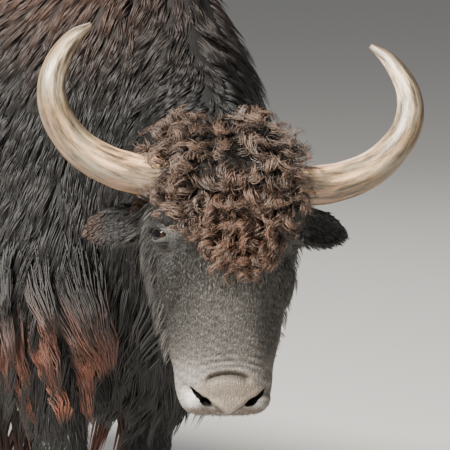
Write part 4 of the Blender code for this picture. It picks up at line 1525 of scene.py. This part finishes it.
def body_plans():
    """The fine hair of the back, hump, shoulders and neck."""
    back = dict(
        count=7400, way=body_way, length=level_length(0.075), width=0.0024, stations=3, lift=0.42, drop=0.15,
        guides=0.16, gather=0.55, wave=(0.004, 0.8), clear=0.004,
    )
    fine = dict(
        way=fore_way, width=0.00107, stations=3, lift=0.28, drop=0.25, jitter=0.10, clear=0.0035,
        guides=0.07, gather=0.55, follow=0.9, vary=0.18,
    )
    return [
        ("back_left", ["torso"], dict(back, where=torso_weight(1))),
        ("back_right", ["torso"], dict(back, where=torso_weight(-1))),
        ("hump_coat", [], dict(
            fine, count=16500, where=fore_weight(1.0, 2.0, -0.30), length=level_length(0.072),
        )),
        ("shoulder_coat", [], dict(
            fine, count=15000, where=fore_weight(0.60, 1.0, -0.30),
            length=longer_below(0.075, 0.030, 0.65, 0.95),
        )),
        ("neck_coat", [], dict(
            fine, count=13000, where=fore_weight(0.55, 2.0, -1.0, -0.30),
            length=longer_below(0.050, 0.03, 0.75, 1.0),
        )),
    ]


def lock_plans():
    """The long locks under the body, on the legs and on the tail."""
    lock = dict(lock_wave=0.30, follow=0.95, jitter=0.05, colour=lock_colour, tip_power=2.6)
    skirt = dict(
        lock, count=2200, way=toward((0, 0.12, -1)), within=0.03, length=uneven_length(0.40, 0.08),
        width=0.0044, stations=6, lift=0.25, drop=0.9, guides=0.035, gather=0.80, wave=(0.012, 1.1),
    )
    return [
        ("skirt_left", ["torso"], dict(skirt, where=flank_weight(1))),
        ("skirt_right", ["torso"], dict(skirt, where=flank_weight(-1))),
        ("throat_locks", ["neck"], dict(
            lock, count=1800, where=between(high=0.86), way=toward((0.10, 0.45, -1)), colour=plain_colour,
            length=uneven_length(0.12, 0.03), width=0.0022, stations=5, lift=0.30, drop=0.6,
            guides=0.05, gather=0.75, wave=(0.008, 1.0),
        )),
        ("brisket_locks", ["brisket", "torso"], dict(
            lock, count=2200, where=brisket_weight, way=toward((0.02, 0.45, -1)),
            length=uneven_length(0.17, 0.04), width=0.0023, stations=6, lift=0.25, drop=0.6,
            guides=0.04, gather=0.80, wave=(0.010, 1.1),
        )),
        ("foreleg_locks", ["foreleg_left", "foreleg_right"], dict(
            lock, count=4700, where=upper_foreleg, way=fringe_way,
            length=patchy_length(0.10, 0.13, 0.62, 0.84), width=0.0015, stations=5, lift=0.22, drop=0.5,
            guides=0.035, gather=0.72, wave=(0.008, 1.1), tip_power=1.7,
        )),
        ("thigh_locks", ["hindleg_left", "hindleg_right"], dict(
            lock, count=1800, where=between(0.60, 0.86), way=fringe_way,
            length=patchy_length(0.18, 0.22, 0.60, 0.80), width=0.0040, stations=5, lift=0.22, drop=0.9,
            guides=0.045, gather=0.78, wave=(0.008, 1.1),
        )),
        ("tail_brush", ["tail"], dict(
            lock, count=1850, where=between(high=1.0), way=toward((0, 0, -1)), jitter=0.02,
            length=longer_above(0.30, 0.12, 0.65, 0.95), width=0.0036, stations=6, lift=0.08, drop=0.8,
            guides=0.06, gather=0.75, wave=(0.009, 1.3),
        )),
    ]


def short_plans():
    """The short coat of the legs, the tail's dock, the face and the ears, and the cheeks' tufts."""
    legs = ["foreleg_left", "foreleg_right", "hindleg_left", "hindleg_right"]
    return [
        ("leg_fur", legs, dict(
            count=14000, where=between(0.075, 0.66), way=toward((0, 0.05, -1)),
            length=longer_above(0.020, 0.024, 0.42, 0.60), width=0.0019, stations=2, lift=0.16,
            drop=0.2, guides=0.2, gather=0.4, sink=0.002, clear=0.002, vary=0.18,
        )),
        ("tail_dock", ["tail"], dict(
            count=600, where=between(low=0.9), way=toward((0, 0.2, -1)), length=level_length(0.045),
            width=0.0034, stations=3, lift=0.20, drop=0.3, guides=0.2, gather=0.5,
        )),
        ("face_fur", [], dict(
            unwrap=head_unwrap, count=48000, where=face_weight, way=face_way, length=face_length,
            width=0.00064, stations=2, lift=0.20, guides=0.12, gather=0.25, sink=0.0008, clear=0.0012,
            fine=lambda places: 1 - 0.45 * ease(head_places(places)[1], 0.24, 0.31), tip_gain=1.55,
            jitter=0.18, vary=0.5, root_shade=0.95,
        )),
        ("cheek_fur", ["head"], dict(
            count=3000, where=cheek_weight, way=side_way(0.25, 0.9, -0.45), width=0.0009, tip_gain=2.2,
            length=level_length(0.040), stations=4, lift=0.75, drop=0.2, guides=0.06, gather=0.70,
        )),
        ("ear_fur", ["ear_left", "ear_right"], dict(
            count=4000, where=level_length(1.0), way=side_way(0.8, 0.5, -0.2), width=0.0009,
            length=ear_length, stations=3, lift=0.26, drop=0.30, guides=0.15, gather=0.5, sink=0.001,
            within=0.014,
        )),
    ]


def mop_plans():
    """The curls of the crown and forehead, in two pieces."""
    # the low root_shade paints deep shade into the gaps between the curls
    curl = dict(
        count=2700, way=mop_way, length=mop_length, width=0.00076, stations=8, lift=1.7, drop=0.05,
        guides=0.078, gather=0.66, wave=(0.0105, 1.35), coil=1.0, lock_wave=0.42, jitter=0.75, follow=0.90,
        colour=mop_colour, tip_power=1.4, root_shade=0.20, vary=0.35, uneven=0.45,
    )
    return [
        ("mop_upper", ["head"], dict(curl, where=mop_weight(lower=False))),
        ("mop_lower", ["head"], dict(curl, where=mop_weight(lower=True))),
    ]


def grow_coat(ground, look, mop_look):
    """Every piece of the coat, each with its own seed."""
    for index, (name, forms, spec) in enumerate(body_plans() + lock_plans() + short_plans() + mop_plans()):
        made = strands(name, {**USUAL, **spec}, ground, 100 + index, forms)
        curly = name.startswith("mop")
        finish(made, mop_look if curly else look, "face" if curly or name == "face_fur" else "coat")
    for word in SIDES:
        finish(lashes(word), look, "face")


def lashes(word):
    """The upper lashes of one eye."""
    side = SIDES[word]
    draw = np.random.default_rng(40 + side)
    gaze, along, up = (np.array(x) for x in eye_axes(side))
    count = 70
    spread = np.linspace(-0.95, 0.9, count)
    high = 0.0100 * (1 - 0.25 * np.abs(spread)) * np.sqrt(1.02 - spread**2) + 0.0008
    seat = unit(gaze * 0.017 + np.outer(spread * SLIT_HALF, along) + np.outer(high, up))
    root = np.array(eye_centre(side)) + seat * (EYE_RADIUS + 0.0026)
    way = unit(gaze + np.outer(spread * 0.5, along) + up * 0.35 + 0.10 * draw.normal(0, 1, (count, 3)))
    path = spine(root, seat, way, draw.uniform(0.009, 0.013, count), stations=4, lift=0.0, drop=0.9)
    tones = (np.tile(SKIN_BLACK, (count, 1)), np.tile(FACE_DARK, (count, 1)), 1.0)
    unwraps = np.stack([0.5 + 0.4 * spread, np.full(count, 0.5)], 1)
    return hair_piece(f"lashes_{word}", path, seat, np.full(count, 0.00038), 0.6, tones, unwraps)


# Scene


VIEW_AIM = Vector((-0.18, -0.88, 0.92))
VIEW_AZIMUTH, VIEW_ELEVATION, VIEW_DISTANCE = math.radians(-47), math.radians(8), 4.0
VIEW_LENS = 200
FLOOR_COLOUR = (0.62, 0.60, 0.57, 1)
SKY_COLOUR, SKY_STRENGTH = (0.85, 0.87, 0.90, 1), 0.28
LIGHT_AIM = Vector((-0.18, -0.8, 0.9))
# Each light's name, place, width, power and colour
LIGHTS = [
    ("key", (-4.43, -0.8, 4.7), 1.0, 1800, (1.0, 0.965, 0.91)),
    ("fill", (-1.0, -6.0, 2.0), 3.0, 22, (0.92, 0.96, 1.0)),
    ("rim", (3.5, 4.0, 4.5), 2.5, 120, (1, 1, 1)),
]


def aimed(name, data, place, way):
    """A camera or a light at a place, looking along a way."""
    made = linked(name, data)
    made.location = place
    made.rotation_mode = "QUATERNION"
    made.rotation_quaternion = way.to_track_quat("-Z", "Y")
    return made


def add_lights():
    for name, place, size, power, colour in LIGHTS:
        data = bpy.data.lights.new(name, "AREA")
        data.shape = "DISK"
        data.size = size
        data.energy = power
        data.color = colour
        aimed(name, data, place, LIGHT_AIM - Vector(place))


def add_camera():
    level, lift = math.cos(VIEW_ELEVATION), math.sin(VIEW_ELEVATION)
    back = Vector((math.sin(VIEW_AZIMUTH) * level, -math.cos(VIEW_AZIMUTH) * level, lift))
    data = bpy.data.cameras.new("camera")
    data.lens = VIEW_LENS
    data.sensor_width = 36
    bpy.context.scene.camera = aimed("camera", data, VIEW_AIM + back * VIEW_DISTANCE, -back)


def add_studio():
    """The floor, the soft light all round and the lights."""
    bm = bmesh.new()
    bmesh.ops.create_grid(bm, x_segments=1, y_segments=1, size=60)
    floor = new_object("floor", bm)
    look, _, shader = fresh_material("pale_floor", 0.9, 0.1)
    shader["Base Color"].default_value = FLOOR_COLOUR
    floor.data.materials.append(look)
    world = bpy.data.worlds.new("studio")
    world.use_nodes = True
    sky = world.node_tree.nodes["Background"].inputs
    sky["Color"].default_value = SKY_COLOUR
    sky["Strength"].default_value = SKY_STRENGTH
    bpy.context.scene.world = world
    add_lights()


def build():
    add_camera()
    add_studio()
    skin = combine(body_skin(), [head_skin()], "UNION")
    skin.name = "skin"
    paint_skin(skin)
    skin.data.shade_smooth()
    ground = Ground(skin)
    coat = coat_material("coat_hair", 0.55, 0.45)
    mop = coat_material("mop_hair", 0.40, 0.50)
    grow_coat(ground, coat, mop)
    flesh = ["torso", "neck", "head", "brisket", "tail"]
    flesh += [f"{kind}_{word}" for kind in ("flank", "ear") for word in SIDES]
    for word in SIDES:
        for kind in LEGS:
            flesh += [f"{kind}_{word}_upper", f"{kind}_{word}_lower"]
    finish(skin, skin_material(), "coat", *flesh)
    horns, hooves, eyes = horn_material(), hoof_material(), eye_material()
    for word, side in SIDES.items():
        made = horn(word)
        made.name = f"fine_horn_{word}"
        finish(made, horns, "horn", f"horn_{word}")
        made = eyeball(side)
        made.name = f"fine_eye_{word}"
        finish(made, eyes, "eye", f"eye_{word}")
        feet = (("fore", FORE_X, FORE_Y + FORE_STEP[word]), ("hind", HIND_X, HIND_Y + HIND_STEP[word]))
        for kind, x, y in feet:
            for place, half in (("outer", side), ("inner", -side)):
                made = claw(half, side * x, y)
                made.name = f"fine_claw_{kind}_{word}_{place}"
                finish(made, hooves, "hoof", f"claw_{kind}_{word}_{place}")


build()
